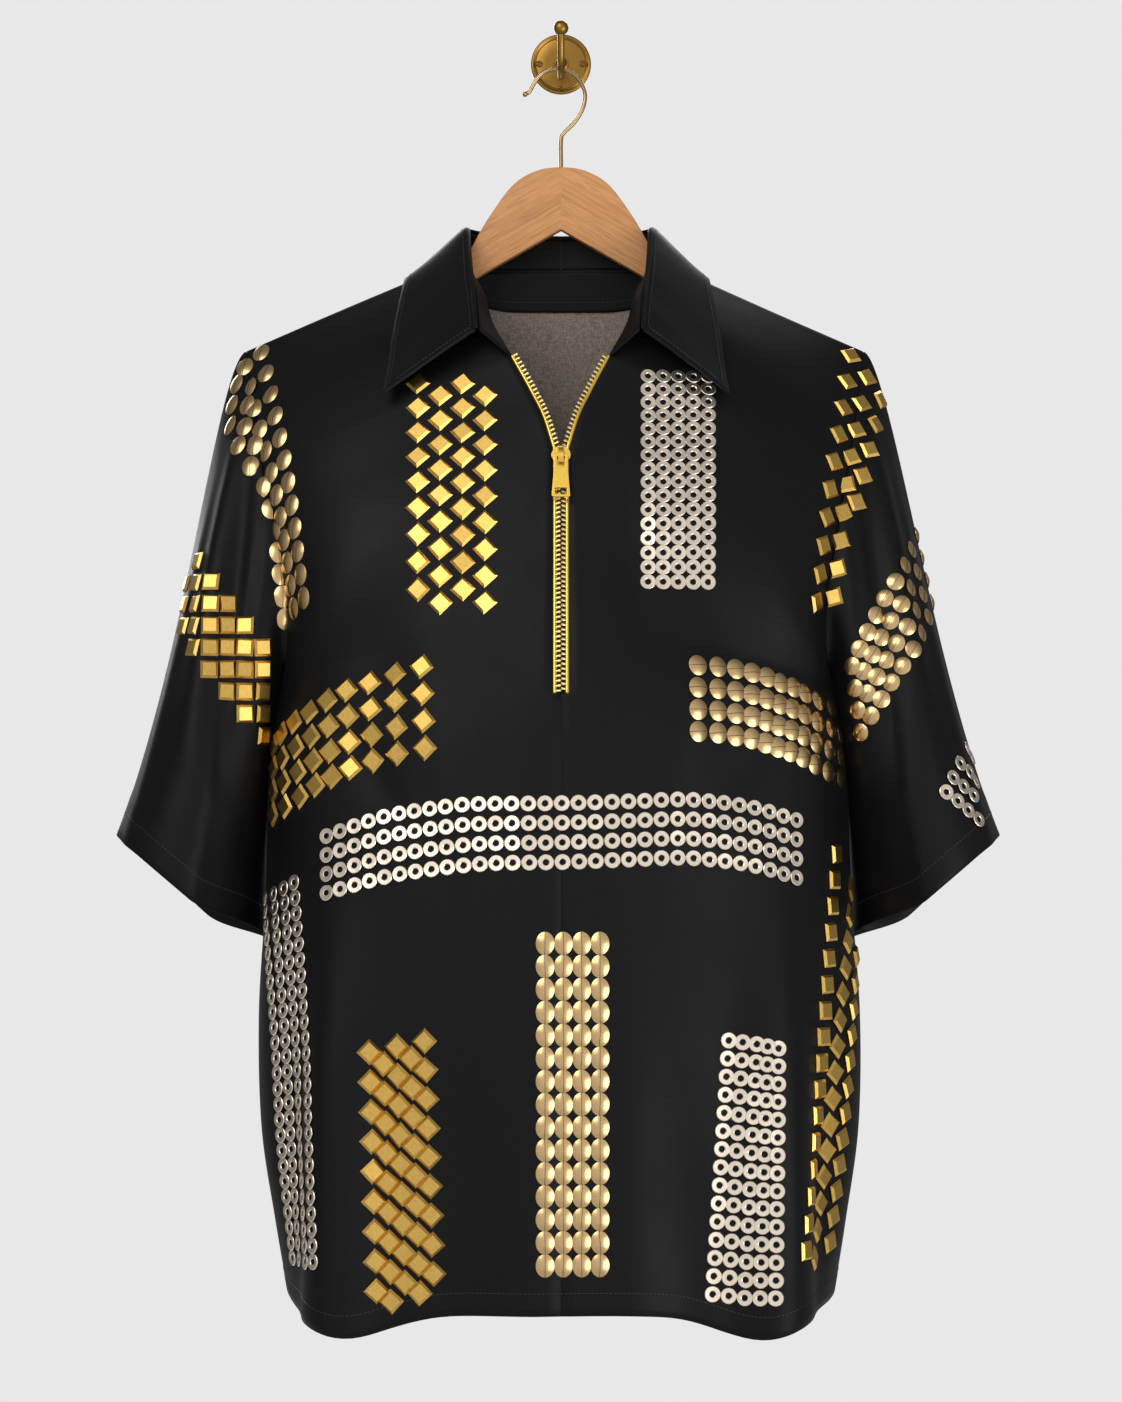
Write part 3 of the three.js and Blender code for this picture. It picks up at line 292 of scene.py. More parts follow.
def hanger_half(side):
    """One half's mesh: its outline filled, thickened, rounded over and sawn at the middle"""
    outline = np.vstack([smooth_line(HANGER_TOP, 10), HANGER_LOW])
    curve = bpy.data.curves.new("hanger outline", "CURVE")
    curve.dimensions = "2D"
    curve.fill_mode = "BOTH"
    curve.extrude = (HANGER_THICK / 2 - HANGER_ROUND) * MM
    curve.bevel_depth = HANGER_ROUND * MM
    curve.bevel_resolution = 4
    curve.offset = -HANGER_ROUND * MM
    spline = curve.splines.new("POLY")
    spline.points.add(len(outline) - 1)
    spline.use_cyclic_u = True
    for place, (x, z) in zip(spline.points, outline):
        place.co = (x * MM, z * MM, 0, 1)
    drawn = in_scene("hanger outline", curve)
    mesh = bpy.data.meshes.new_from_object(drawn.evaluated_get(bpy.context.evaluated_depsgraph_get()))
    sawn = bmesh.new()
    sawn.from_mesh(mesh)
    bmesh.ops.remove_doubles(sawn, verts=sawn.verts, dist=0.001 * MM)
    bmesh.ops.bisect_plane(sawn, geom=sawn.verts[:] + sawn.edges[:] + sawn.faces[:],
                           plane_co=(0, 0, 0), plane_no=(-1, 0, 0), clear_outer=True)
    bmesh.ops.edgeloop_fill(sawn, edges=[edge for edge in sawn.edges if edge.is_boundary])
    sawn.to_mesh(mesh)
    sawn.free()
    points = np.array([(side * v.co.x, v.co.z, v.co.y) for v in mesh.vertices]) / MM
    bpy.data.objects.remove(drawn)
    return points + (0, HANGER_Y, 0), [list(p.vertices)[::side] for p in mesh.polygons]


for side, hand in SIDES:
    wood = beech(f"oiled beech, hanger_{hand}", -side * GRAIN_SLOPE)
    make_piece(f"hanger_{hand}_beech", f"hanger_{hand}", hanger_half(side), [wood], sharp=50)

wire_brass = metal("drawn wire, antique brass plate", "#b59a74", "#957b58", 0.24, 12)
wire_line = smooth_line([(x, HANGER_Y, z) for x, z in WIRE_LINE], 6)
make_piece("hanger_hook_wire", "hanger_hook", joined(
    tube(wire_line, WIRE_RADIUS, 16), ball(wire_line[-1], WIRE_END)), [wire_brass])

# Body of the shirt: two fronts and a back in black satin with a crepe wrong side, sewn at the
# shoulders, armholes and sides, and hung so that it keeps a worn form. Each is cut in one piece.
SEAM_GAP = 0.3
CLOTH = 1.0
ZIP_HALF = 5.5
ZIP_TOP_ROW = 4
ZIP_END_ROW = 10
ZIP_END_STEP = 0.03
UNDERARM_ROW = 9
NECK_BACK_ROW = 3
ROW_STEP = 0.1
HALF_COLUMNS = 48
SEAM_CALM = 0.2
FOLD_GROWTH = 0.625
HEM_ROW = 15.7
HEM_DOUBLED = 0.35
SEAM_PRESSED = 0.5
SEAM_SHARP = 100
RIM_BULGE = 0.4
FRONT_FACED = 45
BACK_FACED = -158
# each row, from the shoulder seam to the hem: inner edge, outer edge, reach at each end as a share
# of the width, and heading at the outer edge in degrees
FRONT_ROWS = np.array([
    (77, -40, -150, 222, -40, -213, 0.333, 0.333, 0),
    (64, -60, -160, 219, -53, -230, 0.33, 0.33, 12),
    (54, -85, -178, 215, -69, -251, 0.33, 0.33, 22),
    (48, -102, -200, 211, -85, -274, 0.34, 0.34, 30),
    (35, -118, -224, 205, -101, -304, 0.35, 0.35, 36),
    (21.5, -130, -249.6, 198, -114, -338, 0.36, 0.36, 42),
    (11, -142, -273.4, 192, -122, -368, 0.37, 0.36, 50),
    (0, -159, -318, 187.5, -125, -396, 0.4, 0.35, 60),
    (0, -172, -357, 188.5, -118, -434, 0.45, 0.32, 74),
    (0, -189, -408, 196, -95, -463, 0.49, 0.27, 86),
    (0, -202, -458, 200.5, -103, -497, 0.49, 0.26, 90),
    (0, -209, -520, 203.5, -105, -535, 0.5, 0.26, 90),
    (0, -215.5, -600, 205.5, -105, -603, 0.52, 0.28, 90),
    (0, -220, -680, 210.5, -105, -682, 0.55, 0.3, 90),
    (0, -223, -760, 209, -106, -760, 0.6, 0.33, 90),
    (0, -225, -825, 199.5, -108, -824, 0.66, 0.37, 90),
    (0, -226, -877, 191.4, -110, -873, 0.68, 0.39, 90),
])
BACK_ROWS = np.array([
    (77, -40, -150, 222, -40, -213, 0.333, 0.333, 0),
    (76, -24, -149.8, 220.5, -24, -214, 0.333, 0.333, 0),
    (60, -15.5, -150.5, 215, -17, -236, 0.33, 0.33, 0),
    (0, -12, -151.5, 210, -13.5, -263, 0.35, 0.33, -2),
    (0, -11, -182, 204, -12, -294, 0.35, 0.33, 0),
    (0, -8.5, -240, 199, -12.5, -332, 0.35, 0.33, -4),
    (0, -7.5, -305, 196, -18, -375, 0.4, 0.3, -14),
    (0, -7.5, -370, 196.5, -32, -412, 0.45, 0.28, -32),
    (0, -7.5, -420, 200, -60, -449, 0.5, 0.26, -62),
    (0, -7.5, -463, 196, -95, -463, 0.52, 0.27, -86),
    (0, -7.5, -497, 200.5, -103, -497, 0.53, 0.27, -90),
    (0, -8, -535, 203.5, -105, -535, 0.54, 0.27, -90),
    (0, -8, -603, 205.5, -105, -603, 0.55, 0.28, -90),
    (0, -8, -682, 210.5, -105, -682, 0.56, 0.28, -90),
    (0, -8, -760, 209, -106, -760, 0.56, 0.28, -90),
    (0, -8.5, -824, 199.5, -108, -824, 0.56, 0.28, -90),
    (0, -9, -880, 191.4, -110, -873, 0.56, 0.28, -90),
])
# soft folds: x and z at the top, x and z at the foot, width each way, rise, and 1 if it runs
# on to the hem. The first of each list are the solid's, the rest are finer creases.
FRONT_FOLDS = [
    (-150, -540, -153, -885, 21, 15, 1), (146, -540, 149, -885, 21, 14, 1),
    (-181, -640, -184, -885, 11, -6, 1), (178, -640, 180, -885, 11, -6, 1),
    (-70, -640, -76, -885, 30, -6, 1), (80, -680, 88, -885, 30, -6, 1),
    (-120, -330, -128, -560, 26, -4, 0), (125, -330, 122, -560, 26, -4, 0),
    (-160, -455, -100, -560, 12, -2.2, 0), (165, -450, 110, -545, 12, -2, 0),
    (-92, -430, -66, -600, 9, 1.4, 0), (96, -420, 70, -590, 9, 1.3, 0),
    (-24, -470, -30, -640, 10, 1.2, 0), (30, -480, 38, -620, 9, 1.0, 0),
    (-12, -560, -20, -885, 14, 1.6, 1), (48, -600, 56, -885, 15, 1.8, 1),
    (-112, -620, -118, -885, 12, -2.2, 1), (112, -640, 120, -885, 12, -2.2, 1),
    (-44, -300, -60, -430, 14, -1.4, 0), (44, -310, 58, -440, 14, -1.4, 0),
]
BACK_FOLDS = [
    (-150, -500, -156, -885, 30, -7, 1), (148, -540, 150, -885, 30, -7, 1),
    (-60, -620, -52, -885, 34, -6, 1), (70, -590, 78, -885, 34, -6, 1),
    (-100, -300, -112, -520, 14, -1.6, 0), (104, -310, 96, -540, 15, -1.6, 0),
    (-20, -420, -10, -885, 13, 1.6, 1), (22, -460, 30, -885, 12, 1.4, 1),
    (-108, -560, -100, -885, 13, 1.8, 1), (112, -540, 116, -885, 13, 1.8, 1),
    (-178, -470, -140, -590, 11, -1.8, 0), (176, -480, 144, -600, 11, -1.7, 0),
    (-36, -200, -60, -380, 16, -1.2, 0), (40, -210, 64, -360, 16, -1.2, 0),
]
HEM_DIPS = [(-145, 42, 17), (135, 42, 18), (15, 70, -1.3)]
HEM_DIP_TOP = -700
HEM_DIP_LOW = -877
# the shirt hangs a little to its left: shift at each height, full from LEAN_FULL outwards
LEAN = [(-900, 0), (-700, 1), (-560, 2), (-400, 3), (-230, 4.5), (-120, 4.5)]
LEAN_FULL = 180
BODY_MIDDLE = (0, -105, -480)


def smooth_rows(table, r, corner=0):
    """A table's values at fractional rows r, smooth apart from a sharp turn at a corner row"""
    last = len(table) - 1
    i = np.minimum(np.floor(r).astype(int), last - 1)
    a, b = table[i], table[i + 1]
    starts, ends = (i == 0) | (i == corner), (i + 1 == last) | (i + 1 == corner)
    before = np.where(starts[..., None], 2 * a - b, table[np.maximum(i - 1, 0)])
    after = np.where(ends[..., None], 2 * b - a, table[np.minimum(i + 2, last)])
    return between(before, a, b, after, (r - i)[..., None])


def bezier(a, b, c, d, t):
    """Points of a cubic curve"""
    s = 1 - t
    return s ** 3 * a + 3 * s * s * t * b + 3 * s * t * t * c + t ** 3 * d


def soft_step(t):
    """0 to 1 with level ends"""
    s = np.clip(t, 0, 1)
    return s * s * (3 - 2 * s)


def panel_base(rows, r, t):
    """Smooth surface of a right half: row r, share t from its inner to its outer edge"""
    inner = smooth_rows(rows[:, :3], r, ZIP_TOP_ROW if rows is FRONT_ROWS else NECK_BACK_ROW)
    outer = smooth_rows(rows[:, 3:6], r, UNDERARM_ROW)
    wide, deep, high = np.moveaxis(outer - inner, -1, 0)
    wide = np.hypot(wide, deep)
    reach_in, reach_out, turn = np.moveaxis(smooth_rows(rows[:, 6:], r), -1, 0)
    turn = np.radians(turn)
    leave = np.stack([reach_in * wide, 0 * wide, high / 3], axis=-1)
    arrive = np.stack([reach_out * wide * np.cos(turn), reach_out * wide * np.sin(turn), high / 3], axis=-1)
    return bezier(inner, inner + leave, outer - arrive, outer, t[..., None])


def fold_rise(folds, x, z):
    """Height of the folds at a place"""
    rise = np.zeros_like(x)
    for x_top, z_top, x_low, z_low, wide, high, to_hem in folds:
        along = (z_top - z) / (z_top - z_low)
        across = (x - (x_top + (x_low - x_top) * along)) / wide
        fade = soft_step(along / FOLD_GROWTH) if to_hem else np.sin(np.pi * np.clip(along, 0, 1))
        rise += np.where(along > 0, high * fade * np.exp(-across * across), 0)
    return rise


def panel_points(rows, folds, side, r, t):
    """Points of a half panel on side -1 or 1, with its folds and the hem's dips"""
    base = panel_base(rows, r, t)
    step = 0.01
    back = np.where(t > 0.5, -step, step)
    up = np.where(r > 1, -step, step)
    across = (panel_base(rows, r, t + back) - base) * np.sign(back)[..., None]
    down = (panel_base(rows, r + up, t) - base) * np.sign(up)[..., None]
    normal = unit(np.cross(across, down))
    if rows is FRONT_ROWS:
        normal = -normal
    fade = soft_step((1 - t) / SEAM_CALM)
    place = base + normal * (fade * fold_rise(folds, side * base[..., 0], base[..., 2]))[..., None]
    dip = fade * soft_step((HEM_DIP_TOP - place[..., 2]) / (HEM_DIP_TOP - HEM_DIP_LOW))
    for x, wide, drop in HEM_DIPS if rows is FRONT_ROWS else ():
        away = (side * place[..., 0] - x) / wide
        place[..., 2] -= drop * dip * np.exp(-away * away)
    place[..., 0] *= side
    return place


def leaned(places):
    """Places moved by the shirt's lean"""
    heights, shifts = zip(*LEAN)
    moved = places.copy()
    moved[..., 0] -= np.interp(places[..., 2], heights, shifts) * soft_step(
        np.abs(places[..., 0]) / LEAN_FULL)
    return moved


def share_at_x(rows, r, x):
    """Share of a row at which the right half reaches x"""
    low, high = np.zeros_like(r), np.full_like(r, 0.5)
    for _ in range(30):
        middle = (low + high) / 2
        short = panel_base(rows, r, middle)[..., 0] < x
        low, high = np.where(short, middle, low), np.where(short, high, middle)
    return np.where(panel_base(rows, r, np.zeros_like(r))[..., 0] >= x, 0, high)


def grid_normals(grid, inside, wraps=False):
    """Normals of a grid of points, away from an inside point"""
    along = np.roll(grid, -1, axis=1) - np.roll(grid, 1, axis=1) if wraps else np.gradient(grid, axis=1)
    normals = unit(np.cross(np.gradient(grid, axis=0), along))
    return normals if np.sum(normals * (grid - inside)) > 0 else -normals


def cloth_size(grid):
    """Each grid point's place on the flat cloth in mm: across from column 0, down from row 0"""
    steps = [(axis, np.diff(grid, axis=axis, prepend=grid.take([0], axis))) for axis in (1, 0)]
    return np.stack([np.cumsum(np.linalg.norm(step, axis=2), axis=axis) for axis, step in steps], axis=-1)


def shell(layers, thick):
    """A closed thin cloth from (grid of outer points, outward normals) layers that share edges,
    with a rounded rim. Gives its (points, faces), a 1 for each face of the inner side, and UVs."""
    quads = []
    base = 0
    for grid, out in layers:
        rows, cols = grid.shape[:2]
        ids = np.arange(rows * cols).reshape(rows, cols) + base
        quad = np.stack([ids[:-1, :-1], ids[:-1, 1:], ids[1:, 1:], ids[1:, :-1]], -1).reshape(-1, 4)
        i, j = rows // 2, cols // 2
        way = np.cross(grid[i, j + 1] - grid[i, j], grid[i + 1, j] - grid[i, j])
        quads.append(quad[:, ::-1] if way.dot(out[i, j]) < 0 else quad)
        base += rows * cols
    quads = np.concatenate(quads)
    points, normals = (np.concatenate([part.reshape(-1, 3) for part in parts]) for parts in zip(*layers))
    flat = np.concatenate([cloth_size(grid).reshape(-1, 2) for grid, _ in layers])
    first, same = np.unique(np.round(points, 3), axis=0, return_index=True, return_inverse=True)[1:]
    same = same.ravel()
    count = len(first)
    merged = np.zeros((count, 3))
    np.add.at(merged, same, normals)
    points, normals = points[first], unit(merged)
    faces = same[quads]
    starts, ends = faces.ravel(), np.roll(faces, -1, axis=1).ravel()
    loose = ~np.isin(ends * count + starts, starts * count + ends) & (starts != ends)
    edge_a, edge_b = starts[loose], ends[loose]
    bulge = np.zeros((count, 3))
    for edge in (edge_a, edge_b):
        np.add.at(bulge, edge, unit(np.cross(points[edge_b] - points[edge_a], normals[edge_a])))
    rim = np.unique(edge_a)
    inner = points - normals * thick
    middle = points[rim] - normals[rim] * thick / 2 + unit(bulge[rim]) * RIM_BULGE * thick
    mid_a, mid_b = (2 * count + np.searchsorted(rim, edge) for edge in (edge_a, edge_b))
    rim_out = np.stack([edge_b, edge_a, mid_a, mid_b], -1)
    rim_in = np.stack([mid_b, mid_a, edge_a + count, edge_b + count], -1)
    numbers = np.repeat([0, 1, 0], [len(faces), len(faces), 2 * len(rim_out)])
    rim_uv = np.repeat(flat[quads.ravel()[loose]][:, None], 4, axis=1)
    uvs = np.concatenate([flat[quads], flat[quads[:, ::-1]], rim_uv, rim_uv])
    faces = np.concatenate([faces, faces[:, ::-1] + count, rim_out, rim_in])
    return (np.concatenate([points, inner, middle]), faces), numbers, uvs.reshape(-1, 2) * MM


def satin(name, colour, light, weave, gloss, speck=0.25, upright_yarn=False):
    """Woven cloth: threads each way, a little unevenness in the yarn, and a soft sheen"""
    material = emptied(bpy.data.materials.new(name))
    flat = add_node(material, "UVMap", {}, uv_map="cloth")[0]
    if upright_yarn:
        place = add_node(material, "TexCoord", {})["Object"]
        flat = add_node(material, "Mapping", {"Vector": place, "Rotation": (math.radians(-90), 0, 0)})[0]
    yarns = []
    for stretch in ((1, 0.25, 1), (0.25, 1, 1)):
        drawn = add_node(material, "Mapping", {"Vector": flat, "Scale": stretch})[0]
        yarns += [add_node(material, "TexNoise", {"Vector": drawn, "Scale": 1 / (weave * MM), "Detail": 2,
                                                  "Roughness": 0.6})["Fac"]]
    woven = add_node(material, "Math", {0: yarns[0], 1: yarns[1]}, operation="ADD")[0]
    speckle = add_node(material, "MapRange", {0: woven, 1: 0.8, 2: 1.25, 3: 0, 4: speck})[0]
    tone = add_node(material, "Mix", {0: speckle, 6: linear(colour), 7: linear(light)}, data_type="RGBA")[2]
    # the gloss is cloudy over about 60 mm
    cloud = add_node(material, "TexNoise", {"Vector": flat, "Scale": 1 / (60 * MM), "Detail": 2,
                                            "Roughness": 0.5})["Fac"]
    dull = add_node(material, "MapRange", {0: cloud, 1: 0.3, 2: 0.7, 3: gloss - 0.04, 4: gloss + 0.05})[0]
    threads = add_node(material, "Bump", {"Height": woven, "Strength": 0.25, "Distance": 0.12 * MM})[0]
    return finished(material, {"Base Color": tone, "Roughness": dull, "Specular IOR Level": 0.14,
                               "Normal": threads, "Sheen Weight": 0.015, "Sheen Roughness": 0.4})


# threads of a satin are under 0.2 mm; they are drawn 1.2 mm wide so that they show
black_satin = satin("black satin", "#08080a", "#161618", 1.2, 0.5)
crepe_back = satin("crepe wrong side, heathered taupe", "#776c62", "#a5988b", 0.9, 0.85, 0.8, True)

# rows of points, closer at the shoulder seam, and columns, closer at the outer seams
LAST_ROW = len(FRONT_ROWS) - 1
back_steps = np.concatenate([
    [0, 0.04], np.arange(ROW_STEP, LAST_ROW + ROW_STEP / 2, ROW_STEP)]).round(4)
front_steps = np.unique(np.append(back_steps, ZIP_END_ROW + ZIP_END_STEP))
column_shares = np.append(np.linspace(0, 0.985, HALF_COLUMNS), [0.994, 1])


def half_grid(rows, folds, side, steps):
    """Grid of a half panel, from its inner to its outer edge"""
    start = np.zeros_like(steps)
    if rows is FRONT_ROWS:
        beside_zip = share_at_x(rows, steps, ZIP_HALF + SEAM_GAP)
        start = np.where(steps > ZIP_END_ROW, share_at_x(rows, steps, SEAM_GAP / 2), beside_zip)
    t = start[:, None] + (1 - start[:, None]) * column_shares[None, :]
    return panel_points(rows, folds, side, np.broadcast_to(steps[:, None], t.shape), t)


upright = {}
for part, rows, folds, steps in (("front", FRONT_ROWS, FRONT_FOLDS, front_steps),
                                 ("back", BACK_ROWS, BACK_FOLDS, back_steps)):
    for side, hand in SIDES:
        upright[f"{part}_{hand}"] = half_grid(rows, folds, side, steps)
grids = {name: leaned(grid) for name, grid in upright.items()}
outward = {name: grid_normals(grid, BODY_MIDDLE) for name, grid in grids.items()}
below_neck = back_steps >= NECK_BACK_ROW
outward["back_right"][below_neck, 0, 0] = 0
outward["back_right"] = unit(outward["back_right"])
outward["back_left"][below_neck, 0] = outward["back_right"][below_neck, 0]
grids["back_left"][below_neck, 0] = grids["back_right"][below_neck, 0]

# Sleeves: wide, to the elbow, each cut in one piece of the satin with a seam under the arm. The
# cuff's hem is doubled, and the crepe side isn't seen, so both sides are satin here.
CUFF_CENTRE = np.array((267, -88, -598))
CUFF_ACROSS = np.array((43.7, 0, 38.8))
CUFF_DEPTH = 72
CUFF_TIP = 1.6
CUFF_LIFT = 9.4
CUFF_TUCK = np.array((-17, 24, 4))
CUFF_TUCK_START = 0.3
CUFF_HEM = 0.915
# angle, reach away from the armhole, reach back from the cuff
SLEEVE_LINES = [(0, 20, 0, -8, 46, 0, 115), (90, 20, -13, -12, 27, 2, 82),
                (180, 10, 14, -15, -2.5, 0, 50), (270, 20, 7, -14, 27, -2, 82),
                (360, 20, 0, -8, 46, 0, 115)]
# angle and share of the length at each end, width in degrees, rise
SLEEVE_FOLDS = [
    (62, 0.05, 112, 0.75, 20, -7), (38, 0.1, 78, 0.8, 14, 4), (120, 0.1, 150, 0.95, 18, 4),
    (250, 0.05, 215, 0.8, 20, -6), (300, 0.1, 268, 0.85, 18, 4),
    (84, 0.0, 128, 0.6, 8, -1.6), (20, 0.3, 44, 1.0, 9, 1.5), (98, 0.35, 120, 1.0, 10, -1.6),
    (330, 0.3, 318, 1.0, 10, 1.4), (232, 0.1, 200, 0.9, 9, 1.6), (285, 0.3, 262, 1.0, 9, -1.4),
    (178, 0.0, 172, 0.6, 30, 1.6),
]
SLEEVE_MIDDLE = (235, -80, -430)
sleeve_shares = np.append([0, 0.008], np.linspace(0.02, 1, 56))


def walk_along(line):
    """Distance of each point of a line from its start"""
    return np.append(0, np.cumsum(np.linalg.norm(np.diff(line, axis=0), axis=1)))


def ring_normals(grid, side):
    """Outward normals of a sleeve's grid, whose last column meets its first"""
    middle = np.array(SLEEVE_MIDDLE) * (side, 1, 1)
    normals = grid_normals(grid[:, :-1], middle, wraps=True)
    return np.concatenate([normals, normals[:, :1]], axis=1)


def sleeve_grid(side, front, back):
    """Grid of a sleeve: rings from the armhole to the cuff, starting and ending under the arm"""
    front_edge = front[front_steps <= UNDERARM_ROW, -1]
    back_edge = back[back_steps <= UNDERARM_ROW, -1]
    front_turn, back_turn = (180 * walk / walk[-1] for walk in map(walk_along, (front_edge, back_edge)))
    ring = np.concatenate([front_edge[::-1], back_edge[1:]])
    angles = np.concatenate([front_turn[::-1], 360 - back_turn[1:]])
    leg = np.minimum(angles // 90, 3).astype(int)
    ease = (1 - np.cos(np.pi * (angles / 90 - leg))) / 2
    lines = np.array(SLEEVE_LINES, dtype=float)
    reach = lines[leg] + (lines[leg + 1] - lines[leg]) * ease[:, None]
    c, s = np.cos(np.radians(angles)), np.sin(np.radians(angles))
    cuff = CUFF_CENTRE + c[:, None] * CUFF_ACROSS
    cuff = cuff + np.stack([0 * s, -CUFF_DEPTH * s, s * (CUFF_LIFT - CUFF_TIP * c)], axis=-1)
    cuff = cuff + soft_step((-c - CUFF_TUCK_START) / (1 - CUFF_TUCK_START))[:, None] * CUFF_TUCK
    start = ring * (side, 1, 1)
    share = sleeve_shares[:, None, None]
    grid = bezier(start, start + reach[:, 1:4], cuff + reach[:, 4:7] * (-1, -1, 1), cuff, share)
    grid = grid * (side, 1, 1)
    rise = np.zeros(grid.shape[:2])
    for a0, s0, a1, s1, wide, high in SLEEVE_FOLDS:
        along = (sleeve_shares[:, None] - s0) / (s1 - s0)
        across = (angles - (a0 + (a1 - a0) * along)) / wide
        fade = np.where((along > 0) & (along < 1), np.sin(np.pi * along), 0)
        if s1 == 1:
            fade = np.where(along > 0.5, 1, fade)
        rise += high * fade * np.exp(-across * across)
    return grid + ring_normals(grid, side) * rise[..., None]


for side, hand in SIDES:
    sleeve = f"sleeve_{hand}"
    grids[sleeve] = leaned(sleeve_grid(side, upright[f"front_{hand}"], upright[f"back_{hand}"]))
    outward[sleeve] = ring_normals(grids[sleeve], side)


def share_way(*ways):
    """Rows of normals along a seam take one direction, unless the cloths meet at a sharp angle"""
    open_enough = np.sum(ways[0] * ways[-1], axis=-1) > math.cos(math.radians(SEAM_SHARP))
    shared = unit(sum(ways))
    return [np.where(open_enough[:, None], shared, way) for way in ways]


def seam_edges(hand):
    """Turns the cloths of one side alike at their seams, parts them, and presses the seams in"""
    names = [f"{part}_{hand}" for part in ("front", "back", "sleeve")]
    front_way, back_way, sleeve_way = (outward[name] for name in names)
    front_way[0], back_way[0] = share_way(front_way[0], back_way[0])
    on_back = back_steps >= UNDERARM_ROW
    on_front = np.isin(front_steps, back_steps[on_back])
    front_way[on_front, -1], back_way[on_back, -1] = share_way(front_way[on_front, -1], back_way[on_back, -1])
    top = int(np.sum(back_steps <= UNDERARM_ROW))
    front_way[:top, -1], sleeve_way[0, :top][::-1] = share_way(
        front_way[:top, -1], sleeve_way[0, :top][::-1])
    back_way[:top, -1], sleeve_way[0, top - 1:] = share_way(back_way[:top, -1], sleeve_way[0, top - 1:])
    hems = (front_steps > HEM_ROW, back_steps > HEM_ROW, sleeve_shares > CUFF_HEM)
    for name, hem in zip(names, hems):
        grid, out = grids[name], outward[name]
        grid[0] += unit(grid[1] - grid[0]) * SEAM_GAP / 2 - out[0] * SEAM_PRESSED
        if name != names[2]:
            grid[:, -1] += unit(grid[:, -2] - grid[:, -1]) * SEAM_GAP / 2 - out[:, -1] * SEAM_PRESSED
        grid[hem] += out[hem] * HEM_DOUBLED


for _, hand in SIDES:
    seam_edges(hand)


def cut_cloth(name, cloth, materials):
    """The piece of one cloth, in place of its CAD node"""
    shape, numbers, uvs = cloth
    piece = make_piece(f"{name}_cloth", name, shape, materials, numbers, uvs, 60)


outer_cloth = {}
for name in ("front_left", "front_right", "back", "sleeve_left", "sleeve_right"):
    halves = ("back_left", "back_right") if name == "back" else (name,)
    shape, numbers, uvs = shell([(grids[half], outward[half]) for half in halves], CLOTH)
    outer_cloth[name] = (shape[0], shape[1][numbers == 0].tolist())
    # the fronts are faced in satin beside the zip, and the back just under the collar's stand
    if "front" in name:
        numbers[uvs.reshape(-1, 4, 2)[..., 0].mean(axis=1) < FRONT_FACED * MM] = 0
    if name == "back":
        numbers[shape[0][shape[1]][..., 2].mean(axis=1) > BACK_FACED] = 0
    wrong_side = black_satin if "sleeve" in name else crepe_back
    cut_cloth(name, (shape, numbers, uvs), [black_satin, wrong_side])

# Collar: a stand sewn to the neckline, and a pointed fall that turns over it. Both are satin,
# interfaced and two layers thick, with rows of stitching inside the edge and along the roll.
COLLAR_CLOTH = 1.8
FALL_CREST = 2.2
FALL_LIFT = 0.8
FALL_MIDDLE = (0, -60, -260)
NECK_MIDDLE = (0, -60, -150)
ROLL_BULGE = 1.3
# share of the neck seam from the front corner to the centre back, roll line, outer edge
COLLAR_STATIONS = np.array([
    (0, 58, -127, -205, 120.5, -131, -250), (0.2, 60, -106, -183, 118, -112, -230),
    (0.4, 62.5, -84, -162, 115.5, -88, -203), (0.54, 64.5, -58, -139, 110, -54, -166),
    (0.62, 65.5, -42, -126, 108, -36, -160), (0.7, 66, -26, -124, 98, -13.4, -156.6),
    (0.79, 55, -15, -125, 72, -6.5, -166), (0.9, 28, -11.5, -127, 36, -4.5, -169),
    (1, 0, -11, -127.8, 0, -4, -170),
])


def collar_side(side, hand):
    """Seam, roll line and outer edge of one side, from the front corner to the centre back"""
    front_edge = grids[f"front_{hand}"][:, 0][front_steps <= ZIP_TOP_ROW][::-1]
    back_edge = grids[f"back_{hand}"][:, 0][back_steps <= NECK_BACK_ROW]
    seam = np.concatenate([front_edge, back_edge[1:]])
    walk = walk_along(seam)
    place = np.interp(walk / walk[-1], COLLAR_STATIONS[:, 0], range(len(COLLAR_STATIONS)))
    lines = smooth_rows(COLLAR_STATIONS[:, 1:], place)
    return [seam, *(leaned(line * (side, 1, 1)) for line in (lines[:, :3], lines[:, 3:]))]


collar_left, collar_right = (collar_side(side, hand) for side, hand in SIDES)
neck_seam, roll_line, fall_edge = (
    np.concatenate([one, other[::-1][1:]]) for one, other in zip(collar_left, collar_right))
stand_up = roll_line - neck_seam
stand_high = np.linalg.norm(stand_up, axis=1, keepdims=True)
stand_up = stand_up / stand_high
stand_shares = np.linspace(0, 1, 13)[None, :, None]
stand_low = 1.5 * SEAM_GAP
stand_top = stand_high[:, None] - COLLAR_CLOTH - 4 * SEAM_GAP
stand_grid = neck_seam[:, None] + stand_up[:, None] * (stand_low + (stand_top - stand_low) * stand_shares)
stand_out = grid_normals(stand_grid, NECK_MIDDLE)
to_neck = -stand_out[:, -1]

